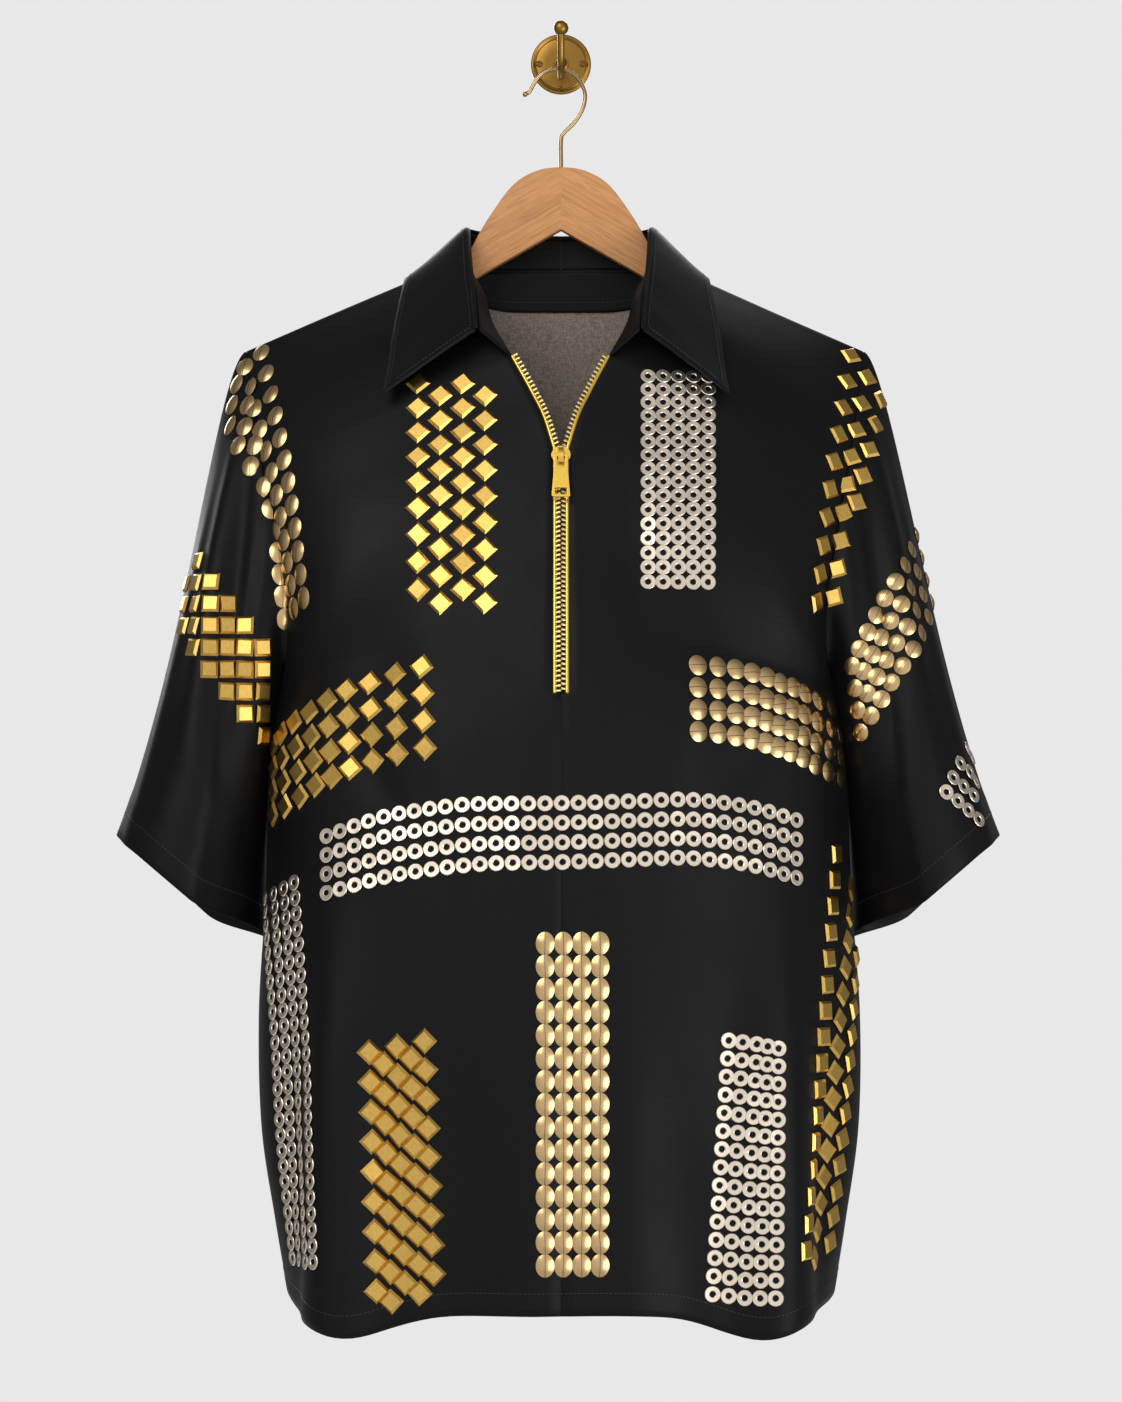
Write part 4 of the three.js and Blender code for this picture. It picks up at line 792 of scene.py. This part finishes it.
roll_start = roll_line + to_neck * COLLAR_CLOTH
crest = roll_line - to_neck * FALL_CREST
run = fall_edge - crest
lift = unit(np.cross(run, np.gradient(roll_line, axis=0)))
lift *= np.where(np.sum(lift * (crest - FALL_MIDDLE), axis=1, keepdims=True) < 0, -1, 1)
turn_over = np.linspace(0, math.pi, 9)[:-1]
over = [(roll_start + crest) / 2 + (roll_start - crest) / 2 * math.cos(a)
        + stand_up * ROLL_BULGE * math.sin(a) for a in turn_over]
down = [crest + run * t + lift * FALL_LIFT * math.sin(math.pi * math.sqrt(t))
        for t in np.linspace(0, 1, 29) ** 1.5]
fall_grid = np.stack(over + down, axis=1)
fall_out = grid_normals(fall_grid, FALL_MIDDLE)
TURN_COLUMNS = len(over)

for name, grid, out in (("collar_stand", stand_grid, stand_out), ("collar_fall", fall_grid, fall_out)):
    cut_cloth(name, shell([(grid, out)], COLLAR_CLOTH), [black_satin, black_satin])

# Back neck facing: a shaped strip of black satin inside the back of the neck, under the stand. It
# lies on the back's wrong side and covers the seam.
FACING = 1.0
FACING_HALF = 66
FACING_TAPER = 6
FACING_TOP = -153.5
FACING_LOW = -182
FACING_END_LOW = -177
INSIDE_Y = -100
inside_back = BVHTree.FromPolygons(*outer_cloth["back"])


def back_depth(x, z):
    """Depth of the back's outer face behind a place"""
    return inside_back.ray_cast(Vector((x, INSIDE_Y, z)), Vector((0, 1, 0)))[0].y


down_share, across_share = np.meshgrid(np.linspace(0, 1, 15), np.linspace(-1, 1, 61), indexing="ij")
facing_low = FACING_LOW + (FACING_END_LOW - FACING_LOW) * np.maximum(0, 2 * abs(across_share) - 1) ** 2
facing_x = across_share * (FACING_HALF - FACING_TAPER * down_share)
facing_z = FACING_TOP + (facing_low - FACING_TOP) * down_share
facing_y = np.vectorize(back_depth)(facing_x, facing_z) - CLOTH - SEAM_GAP
facing_grid = np.stack([facing_x, facing_y, facing_z], axis=-1)
facing_out = grid_normals(facing_grid, BODY_MIDDLE)
cut_cloth("back_neck_facing", shell([(facing_grid, facing_out)], FACING), [black_satin, black_satin])

# Stitching: rows of black polyester thread at the hem, the cuffs, the collar and the facing. Each
# stitch is a short rounded bar half sunk in the cloth.
STITCH_PITCH = 3.0
STITCH_LONG = 2.3
STITCH_RADIUS = 0.34
HEM_STITCH = 15
CUFF_STITCH = 17
ROLL_STITCH = 2.2
EDGE_STITCH = 5
FACING_STITCH = 7
thread = emptied(bpy.data.materials.new("black polyester sewing thread"))
thread_place = add_node(thread, "TexCoord", {})["Object"]
# two-ply twist, drawn coarse
twist = add_node(thread, "TexWave", {"Vector": thread_place, "Scale": 1 / (2 * MM), "Distortion": 1.5},
                 bands_direction="DIAGONAL")["Fac"]
plies = add_node(thread, "Bump", {"Height": twist, "Strength": 0.3, "Distance": 0.1 * MM})[0]
finished(thread, {"Base Color": linear("#1b1b1e"), "Roughness": 0.5, "Normal": plies})


def at(stops, walk, values):
    """Values at stops along a line, where each known value has its distance walked"""
    return np.stack([np.interp(stops, walk, part) for part in np.transpose(values)], axis=-1)


def along_line(line, normals, pitch, start=0.0):
    """Places at an equal pitch along a line, with the heading and the cloth's normal at each"""
    walk = walk_along(line)
    stops = np.arange(start, walk[-1] + 1e-6, pitch)
    heading = unit(at(stops + 0.5, walk, line) - at(stops - 0.5, walk, line))
    return at(stops, walk, line), heading, unit(at(stops, walk, normals))


def placed(shape, places, headings, normals):
    """Copies of a shape (points, faces) whose X runs along each heading and Z along each normal"""
    points, faces = shape
    across = unit(np.cross(normals, headings))
    axes = np.stack([np.cross(across, normals), across, normals], axis=1)
    copies = [[index + k * len(points) for index in face] for k in range(len(places)) for face in faces]
    return (places[:, None] + points @ axes).reshape(-1, 3), copies


stitch = tube([(-STITCH_LONG / 2 + 0.3, 0, 0), (0, 0, 0.08), (STITCH_LONG / 2 - 0.3, 0, 0)],
              STITCH_RADIUS, 6)


def stitch_row(line, normals, ends=slice(None)):
    """Stitches along a line on the cloth"""
    return placed(stitch, *along_line(line[ends], normals[ends], STITCH_PITCH))


def line_at(grid, out, depths):
    """Points and normals of a line across a grid's rows, at the given distance down each column"""
    walks = cloth_size(grid)[..., 1]
    return [np.array([at(depth, walks[:, j], values[:, j]) for j, depth in enumerate(depths)])
            for values in (grid, out)]


hem_rows = []
for name, grid in grids.items():
    depths = cloth_size(grid)[-1, :, 1] - (CUFF_STITCH if "sleeve" in name else HEM_STITCH)
    hem_rows.append(stitch_row(*line_at(grid, outward[name], depths)))
make_piece("hem_stitches", None, joined(*hem_rows), [thread])

# the fall's grid runs along the roll, so its columns are the lines beside the roll and the edge
across_fall, across_out = np.swapaxes(fall_grid, 0, 1), np.swapaxes(fall_out, 0, 1)
fall_long = cloth_size(across_fall)[..., 1]
collar_rows = [stitch_row(*line_at(across_fall, across_out, depths), slice(3, -3))
               for depths in (fall_long[TURN_COLUMNS] + ROLL_STITCH, fall_long[-1] - EDGE_STITCH)]
for grid, out in ((fall_grid, fall_out), (fall_grid[::-1], fall_out[::-1])):
    leaf_edge = line_at(grid, out, [EDGE_STITCH] * grid.shape[1])
    collar_rows.append(stitch_row(*leaf_edge, slice(TURN_COLUMNS + 4, -3)))
facing_depths = cloth_size(facing_grid)[-1, :, 1] - FACING_STITCH
middle = len(stand_grid) // 2
for line, way, thick in ((*line_at(facing_grid, facing_out, facing_depths), FACING),
                         (stand_grid[middle], stand_out[middle], COLLAR_CLOTH)):
    collar_rows.append(stitch_row(line - way * thick, -way))
make_piece("collar_stitches", None, joined(*collar_rows), [thread])

# Studs, discs and rings: oblong blocks of ready-made trims, sewn or pronged on in level, sloping or
# staggered rows. Each block runs along spines across its cloth, given as (x, z) places.
STUD_SIDE = 12.6
STUD_TOP = 9.3
STUD_HIGH = 2.1
STUD_WALL = 0.5
DOME_RADIUS = 7.0
DOME_HIGH = 1.8
DOME_RIM = 0.3
DOME_THREAD = 0.2
RING_RADIUS = 5.5
RING_HOLE = 2.1
RING_THICK = 0.8
RING_TILT = 4
TRIM_LIFT = 0.15
TRIM_LOOSE = 2.0
TRIM_REST = 5.0
OVAL = (1.12, 0.9)
SHAKEN = 0.5
SLEEVE_STUDS_ACROSS = (-264, -255, -243.5, -231.5, -219, -207)
SLEEVE_STUDS_TOP = -366
SLEEVE_STUDS_PITCH = 15.3
BEFORE_SHIRT = -400
chance = np.random.default_rng(7)


def brushed(name, colour, dark, roughness, stretch=(1, 1, 1)):
    """Plated metal with a fine brushed grain that runs along the trim's own length"""
    material = emptied(bpy.data.materials.new(name))
    flat = add_node(material, "UVMap", {}, uv_map="cloth")[0]
    drawn = add_node(material, "Mapping", {"Vector": flat, "Scale": stretch})[0]
    grain = add_node(material, "TexNoise", {"Vector": drawn, "Scale": 1 / (0.5 * MM), "Detail": 3,
                                            "Roughness": 0.65})["Fac"]
    share = add_node(material, "MapRange", {0: grain, 1: 0.35, 2: 0.65, 3: 0, 4: 1})[0]
    tone = add_node(material, "Mix", {0: share, 6: linear(dark), 7: linear(colour)}, data_type="RGBA")[2]
    scratches = add_node(material, "Bump", {"Height": grain, "Strength": 0.16, "Distance": 0.05 * MM})[0]
    return finished(material, {"Base Color": tone, "Metallic": 1, "Roughness": roughness,
                               "Normal": scratches})


# gold-plated brass, die-struck and brushed; champagne plate, spun, so its grain has no one way;
# silver plate gone warm
stud_gold = brushed("gold-plated stud", "#dfb966", "#c79e4b", 0.33, (1, 0.12, 1))
disc_gold = brushed("champagne-plated disc", "#dcbe8c", "#c4a26c", 0.27)
ring_silver = brushed("warm silver-plated ring", "#efe4d2", "#dccdb8", 0.36)

corners = np.array([(-1, -1), (1, -1), (1, 1), (-1, 1)]) / 2
stud_points = np.concatenate([np.c_[corners * side, [z] * 4] for side, z in (
    (STUD_SIDE, 0), (STUD_SIDE, STUD_WALL), (STUD_TOP, STUD_HIGH))])
stud = (stud_points, [[3, 2, 1, 0], [8, 9, 10, 11]] + bands(3, 4))

dome_crown = DOME_HIGH - DOME_RIM
dome_profile = [(0, 0), (DOME_RADIUS, 0), (DOME_RADIUS, DOME_RIM)] + [
    (DOME_RADIUS * math.sin(a), DOME_RIM + dome_crown * (1 - math.sin(a) ** 2))
    for a in np.radians((72, 56, 42, 29, 17, 7))] + [(0, DOME_HIGH)]
# turned about Y, then stood up along Z
dome_points, dome_faces = turned([(radius, -z) for radius, z in dome_profile], 24)
dome = (dome_points[:, [0, 2, 1]] * (1, 1, -1), [face[::-1] for face in dome_faces])
thread_end = 1.12 * DOME_RADIUS
dome_thread = tube([(-thread_end, 0, 0)] + [
    (DOME_RADIUS * s, 0, DOME_RIM + 0.05 + dome_crown * (1 - s * s))
    for s in np.linspace(-1, 1, 9)] + [(thread_end, 0, 0)], DOME_THREAD, 6)

ring_profile = [(RING_RADIUS, 0), (RING_RADIUS, 0.5 * RING_THICK), (RING_RADIUS - 0.4, RING_THICK),
                (RING_HOLE + 0.5, 0.9 * RING_THICK), (RING_HOLE, 0.4 * RING_THICK), (RING_HOLE, 0)]
ring_points = np.array([(radius * math.cos(a), radius * math.sin(a), z)
                        for radius, z in ring_profile for a in around(24)])
ring = (ring_points, [[index % len(ring_points) for index in face] for face in bands(7, 24)])
TRIMS = {"stud": (stud, stud_gold, "gold_studs"), "dome": (dome, disc_gold, "champagne_discs"),
         "ring": (ring, ring_silver, "silver_rings")}


def cloth_tree(*names):
    """One search tree of several cloths' outer faces"""
    points, faces = joined(*(outer_cloth[name] for name in names))
    return BVHTree.FromPolygons(points.tolist(), faces)


def level_axes(normal):
    """The ways to the right and up along the cloth"""
    right = unit(np.cross(normal, (0, 0, -1)))
    return right, np.cross(normal, right)


def settled(tree, place, normal):
    """A trim is stiff: it lies level on the cloth round the place and bridges what dips there"""
    place, normal = np.array(place), np.array(normal)
    right, up = level_axes(normal)
    near = [tree.find_nearest(Vector(place + TRIM_REST * (right * math.cos(a) + up * math.sin(a))))
            for a in around(8)]
    level = unit(normal + sum(np.array(hit[1]) for hit in near))
    dip = np.mean([(np.array(hit[0]) - place).dot(level) for hit in near])
    return place + level * max(dip, 0), level


def seen(tree, x, z):
    """The place on the cloth seen from the front at (x, z), and the cloth's normal there"""
    return tree.ray_cast(Vector((x, BEFORE_SHIRT, z)), Vector((0, 1, 0)))[:2]


def on_cloth(tree, stops):
    """The spots for trims at (x, z) stops, None where no cloth is seen"""
    hits = [seen(tree, x, z) for x, z in stops]
    return [None if place is None else settled(tree, place, normal) for place, normal in hits]


def spine_stops(tree, stations, count, shift=0.0, by_height=False):
    """(x, z) stops along a spine, at equal distances on the cloth or at equal heights. A spine
    with a station for each stop is taken as it stands."""
    if len(stations) == count:
        return np.array(stations, dtype=float)
    line = smooth_line(stations, 12)
    if by_height:
        walk = line[0, 1] - line[:, 1]
    else:
        walk = walk_along([seen(tree, x, z)[0] for x, z in line])
    stops = (np.arange(count) + shift) * walk[-1] / (count - 1)
    beyond = np.maximum(stops - walk[-1], 0)[:, None]
    return at(stops, walk, line) + beyond * (line[-1] - line[-2]) / (walk[-1] - walk[-2])


def spread(tree, spines, columns, rows, stagger=0.0, by_height=False):
    """A block between spines: the odd columns are moved on by the stagger, in row pitches"""
    spots = []
    for j in range(columns):
        shift = stagger * (j % 2)
        stops = np.array([spine_stops(tree, spine, rows, shift, by_height) for spine in spines])
        place = j * (len(spines) - 1) / (columns - 1)
        k = min(int(place), len(spines) - 2)
        spots += on_cloth(tree, stops[k] + (stops[k + 1] - stops[k]) * (place - k))
    return spots


def walked(tree, spine, counts, pitch, slope):
    """A block that walks over the cloth from each stop of a spine, up or down a slope"""
    spots = []
    slope = math.radians(slope)
    stops = spine_stops(tree, spine, len(counts), by_height=True)
    for (place, normal), count in zip(on_cloth(tree, stops), counts):
        right, up = level_axes(normal)
        way = right * math.cos(slope) + up * math.sin(slope)
        for _ in range(count):
            spots.append((place, normal))
            place, normal = settled(tree, *tree.find_nearest(Vector(place + way * pitch))[:2])
            way = unit(way - normal * way.dot(normal))
    return spots


def sew_on(kind, place, spots, turn=0, size=(1, 1)):
    """The block's piece: each trim turned in its own plane, a little loose, as if set by hand"""
    (points, faces), metal_kind, slot = TRIMS[kind]
    points = points * (*size, 1)
    turn = np.broadcast_to(turn, len(spots))[[spot is not None for spot in spots]]
    places, normals = (np.array(part) for part in zip(*filter(None, spots)))
    normals = unit(normals + np.radians(TRIM_LOOSE) * chance.normal(size=normals.shape) * SHAKEN)
    right, up = level_axes(normals)
    turns = np.radians(turn + chance.normal(size=len(places)) * TRIM_LOOSE)[:, None]
    heading = right * np.cos(turns) + up * np.sin(turns)
    lift = TRIM_LIFT
    if kind == "ring":
        normals = unit(normals + np.radians(RING_TILT) * up)
        lift += RING_RADIUS * math.sin(math.radians(RING_TILT))
    places = places + normals * lift
    parts = [placed((points, faces), places, heading, normals)]
    # each trim has its own patch of the grain
    offsets = chance.uniform(0, 500, size=(len(places), 1, 2))
    uvs = ((np.concatenate([points[face][:, :2] for face in faces]) + offsets) * MM).reshape(-1, 2)
    if kind == "dome":
        parts.append(placed((dome_thread[0] * (*size, 1), dome_thread[1]), places, heading, normals))
        uvs = np.concatenate([uvs, np.zeros((sum(map(len, parts[1][1])), 2))])
    numbers = np.repeat(range(len(parts)), [len(part[1]) for part in parts])
    make_piece(f"{kind}s_{place}", f"trim_{kind}_{place}", joined(*parts),
               [metal_kind, thread][:len(parts)], numbers, uvs, 25)


front_left, front_right = (cloth_tree(f"front_{hand}") for _, hand in SIDES)
both_fronts = cloth_tree("front_left", "front_right")
shoulder_left, shoulder_right = (cloth_tree(f"front_{hand}", f"sleeve_{hand}") for _, hand in SIDES)
sleeve_left, sleeve_right = (cloth_tree(f"sleeve_{hand}") for _, hand in SIDES)

sew_on("stud", "chest", spread(front_left, [
    [(-99.8, -243), (-97.8, -388)], [(-52.9, -243), (-51.8, -388)]], 4, 9, 0.5), 45)
sew_on("ring", "chest", spread(front_right, [
    [(60.7, -238), (59.4, -383)], [(102.8, -238), (100.5, -383)]], 5, 16))
sew_on("stud", "waist", spread(front_left, [
    [(-94.6, -441), (-113, -446), (-130.7, -452), (-146.7, -457), (-160.4, -464),
     (-173, -472), (-184, -479), (-193, -487), (-199, -495)],
    [(-92, -496), (-111, -500), (-128, -505), (-143.5, -510), (-156.6, -516),
     (-168, -522), (-179, -530), (-190, -537), (-199, -543)]], 4, 9), 45, (1.03, 1.03))
sew_on("dome", "waist", spread(front_right, [
    [(93, -440), (107, -441), (119.6, -442.5), (131, -445), (141.4, -448), (151, -452),
     (160, -455), (168.4, -459), (178, -464), (188, -468.5), (195, -473)],
    [(93, -485), (106.6, -486), (119, -488), (130, -490), (139.5, -493), (148, -496),
     (157, -499), (166, -503), (175, -508), (184.4, -513), (194, -518)]], 4, 11), 0, (0.97, 1.03))
sew_on("ring", "band", spread(both_fronts, [
    [(-159.8, -556.5), (-133.6, -547), (-111.6, -541), (-77, -535.5), (-54.6, -533.7),
     (3, -533), (53, -531.7), (87, -531), (128.5, -536.4), (160.7, -545.7)],
    [(-159.4, -595), (-142.5, -590), (-109, -581.3), (-54.5, -574), (3, -572.5),
     (53, -570.7), (87, -570.3), (128, -575.5), (160.4, -585)]], 4, 31))
sew_on("ring", "side", spread(front_left, [
    [(-182.9, -589), (-172.5, -700), (-170, -758), (-166.6, -842)],
    [(-206, -602), (-196, -700), (-192, -760), (-183.5, -846)]], 4, 25))
sew_on("stud", "hem", spread(front_left, [
    [(-129.2, -701), (-124, -861)], [(-91.8, -693), (-85.6, -849)]], 5, 9, 0.5), 45)
sew_on("dome", "hem", spread(both_fronts, [
    [(-10.7, -627), (-10.7, -842)], [(26.2, -627), (26.1, -842)]], 4, 15), 90, OVAL)
sew_on("ring", "hem", spread(front_right, [
    [(112.9, -693), (101.8, -863)], [(132, -695.5), (123.6, -865.5)],
    [(146.5, -698.5), (144, -865)]], 5, 15))
sew_on("stud", "side", spread(front_right, [
    [(190, -570), (185.3, -621.5), (180.6, -676.5), (174.3, -750), (165, -835)],
    [(203, -578), (198, -630), (191, -686), (183, -760), (171, -842)],
    [(210, -572), (204.8, -642.5), (200, -698.6), (195.7, -740), (184, -835)]],
    3, 16, by_height=True), np.repeat([0, 45, 20], 16))
sew_on("dome", "armhole", spread(shoulder_left, [
    [(-215, -214.6), (-201, -265.4), (-189.8, -315), (-182.4, -362), (-177.8, -393)],
    [(-226.5, -225), (-212.4, -273), (-198.6, -322), (-190.6, -366), (-185.4, -400)],
    [(-232, -237.6), (-235, -256), (-234, -273.5), (-224, -290), (-208, -317),
     (-199.6, -344.5), (-195.5, -375.6), (-192, -407)]], 3, 12, by_height=True)
    + on_cloth(shoulder_left, [(-223, -254), (-224, -270), (-216, -284)]), 90, OVAL)
# columns that each follow a spine, with a count of their own
sew_on("stud", "armhole", [
    spot for spine, count in (
        ([(207.8, -217), (199.3, -259), (190.6, -300), (184.5, -340), (177, -396)], 10),
        ([(218.9, -233), (208, -275), (200, -314), (195, -352), (190, -392)], 9),
        ([(228, -249), (221, -275), (213, -303), (207, -325)], 5))
    for spot in on_cloth(shoulder_right, spine_stops(shoulder_right, spine, count, by_height=True))],
    15, (0.92, 0.97))
sew_on("stud", "sleeve", on_cloth(sleeve_left, [
    (x, SLEEVE_STUDS_TOP - SLEEVE_STUDS_PITCH * row) for row in range(10)
    for x in SLEEVE_STUDS_ACROSS[max(0, row - 3):row + 2]]), 0, (0.97, 0.97))
sew_on("dome", "sleeve", spread(sleeve_right, [
    [(253, -346), (240, -370), (224.4, -394.7), (211, -420), (202, -440)],
    [(263, -394), (249.4, -419.8), (234, -443.5), (219.4, -466.7), (208, -486)]],
    4, 9, by_height=True), 58, (0.9, 0.87))
sew_on("ring", "sleeve", walked(
    sleeve_right, [(283, -498), (274, -511), (265, -527)], [2, 3, 3, 4], 10.8, -35))

# Half zip: a gold-plated metal chain on two tapes, with a slider whose pull tab hangs in front.
# The tapes show only as a narrow gold edge beside the teeth.
CHAIN_HALF = 2.9
TAPE_RISE = 0.7
TAPE_THICK = 1.4
TOOTH_PITCH = 3.45
TOOTH_START = 0.4
TOOTH_ON_TAPE = 0.3
TOOTH_SUNK = 0.1
zip_gold = metal("gold-plated zip brass", "#ecc75c", "#dcb044", 0.28, 12)
# the teeth are the tape's gold plate, but their colour is a paler, brighter gold: a painted highlight. Their
# lower roughness is their polish.
tooth_gold_with_painted_highlight = metal("polished gold-plated zip tooth", "#fbe9b4", "#f2d587", 0.22, 12)


def zip_side(hand):
    """Edge line of one front along the zip, the way to the zip's middle and the way out"""
    name = f"front_{hand}"
    beside = (front_steps >= ZIP_TOP_ROW) & (front_steps <= ZIP_END_ROW)
    edge = grids[name][beside, 0]
    return edge, unit(edge - grids[name][beside, 1]), outward[name][beside, 0]


# one tooth: a waist on the tape and a rounded head towards the middle
tooth = tube([(0, 0, 0), (0.9, 0, 0.1), (1.7, 0, 0.2), (2.5, 0, 0.2), (3.1, 0, 0.1)],
             [0.8, 0.8, 1.0, 1.15, 0.9], 12)
shares = np.array([0, 0.12, 0.3, 0.5, 0.7, 0.88, 1])[None, :, None]
bead = np.array([0, 0.55, 0.9, 1, 0.9, 0.55, 0.1])[None, :, None] * TAPE_RISE
for side, hand in SIDES:
    edge, inside, rise = zip_side(hand)
    tape_outer = edge + inside * SEAM_GAP
    tape_inner = edge + inside * (ZIP_HALF + SEAM_GAP / 2 - CHAIN_HALF)
    tape_grid = tape_outer[:, None] + (tape_inner - tape_outer)[:, None] * shares + rise[:, None] * bead
    tape = shell([(tape_grid, np.repeat(rise[:, None], 7, axis=1))], TAPE_THICK)[0]
    # the teeth of one side stand between those of the other
    start = TOOTH_START + (TOOTH_PITCH / 2 if side > 0 else 0)
    spots, _, normals = along_line(tape_inner, rise, TOOTH_PITCH, start)
    towards = unit(at(spots[:, 2], edge[::-1, 2], inside[::-1]))
    teeth = placed(tooth, spots - towards * TOOTH_ON_TAPE - normals * TOOTH_SUNK, towards, normals)
    make_piece(f"zip_{hand}_chain", f"zip_tape_{hand}", joined(tape, teeth),
               [zip_gold, tooth_gold_with_painted_highlight], np.repeat([0, 1], [len(tape[1]), len(teeth[1])]))

for name in ("zip_slider", "zip_pull_tab"):
    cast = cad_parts[name]
    for slot in cast.material_slots:
        slot.material = zip_gold
    weld = cast.modifiers.new("weld", "WELD")
    weld.merge_threshold = 0.01 * MM
    soften = cast.modifiers.new("rounded edges", "BEVEL")
    soften.width = 0.25 * MM
    soften.segments = 3
    soften.limit_method = "ANGLE"
    soften.angle_limit = math.radians(40)
    soften.harden_normals = True

# Light: a pale studio with a big soft light from the upper left, a weaker one from the right and a
# pale floor below the hem. The backdrop is the plain pale grey of a studio wall.
FLOOR_Z = -1250
FLOOR_RADIUS = 1300
world = emptied(bpy.data.worlds.new("studio"))
scene.world = world
backdrop = add_node(world, "Background", {"Color": linear("#e8e8e8")})[0]
# the studio is brightest behind the camera and a little below it, and dims to the sides
way_out = add_node(world, "TexCoord", {})["Generated"]
facing = add_node(world, "VectorMath", {0: way_out, 1: (0.15, -0.98, -0.1)}, operation="DOT_PRODUCT")
glow = add_node(world, "MapRange", {0: facing["Value"], 1: -0.1, 2: 1, 3: 0.26, 4: 0.98},
                interpolation_type="SMOOTHSTEP")[0]
room = add_node(world, "Background", {"Color": linear("#e9e9ec"), "Strength": glow})[0]
seen_directly = add_node(world, "LightPath", {})["Is Camera Ray"]
choose = add_node(world, "MixShader", {0: seen_directly, 1: room, 2: backdrop})[0]
add_node(world, "OutputWorld", {"Surface": choose})


def soft_light(name, place, target, width, power):
    """A square soft white light that faces a target"""
    light = bpy.data.lights.new(name, "AREA")
    light.size = width * MM
    light.energy = power
    lamp = in_scene(name, light)
    lamp.location = Vector(place) * MM
    lamp.rotation_euler = (Vector(target) - Vector(place)).to_track_quat("-Z", "Y").to_euler()


soft_light("key", (-1300, -2300, 1200), (0, -100, -450), 1900, 36)
soft_light("low right", (1500, -1700, -1100), (0, -100, -450), 1300, 20)
soft_light("rim", (300, 1500, 900), (0, -50, -300), 1200, 18)
soft_light("behind", (-900, 2300, 500), (0, -50, -450), 1500, 40)

scene.view_settings.view_transform = "Standard"

floor_points, floor_faces = turned([(0, 0), (FLOOR_RADIUS, 0), (FLOOR_RADIUS, 10), (0, 10)], 96)
floor_points = floor_points[:, [0, 2, 1]] * (1, 1, -1) + (0, BODY_MIDDLE[1], FLOOR_Z)
floor_mesh = bpy.data.meshes.new("floor")
floor_mesh.from_pydata(floor_points * MM, [], floor_faces)
pale_paper = emptied(bpy.data.materials.new("matt pale paper"))
floor_mesh.materials.append(finished(pale_paper, {"Base Color": linear("#e8e8e8"), "Roughness": 0.9}))
in_scene("floor", floor_mesh)
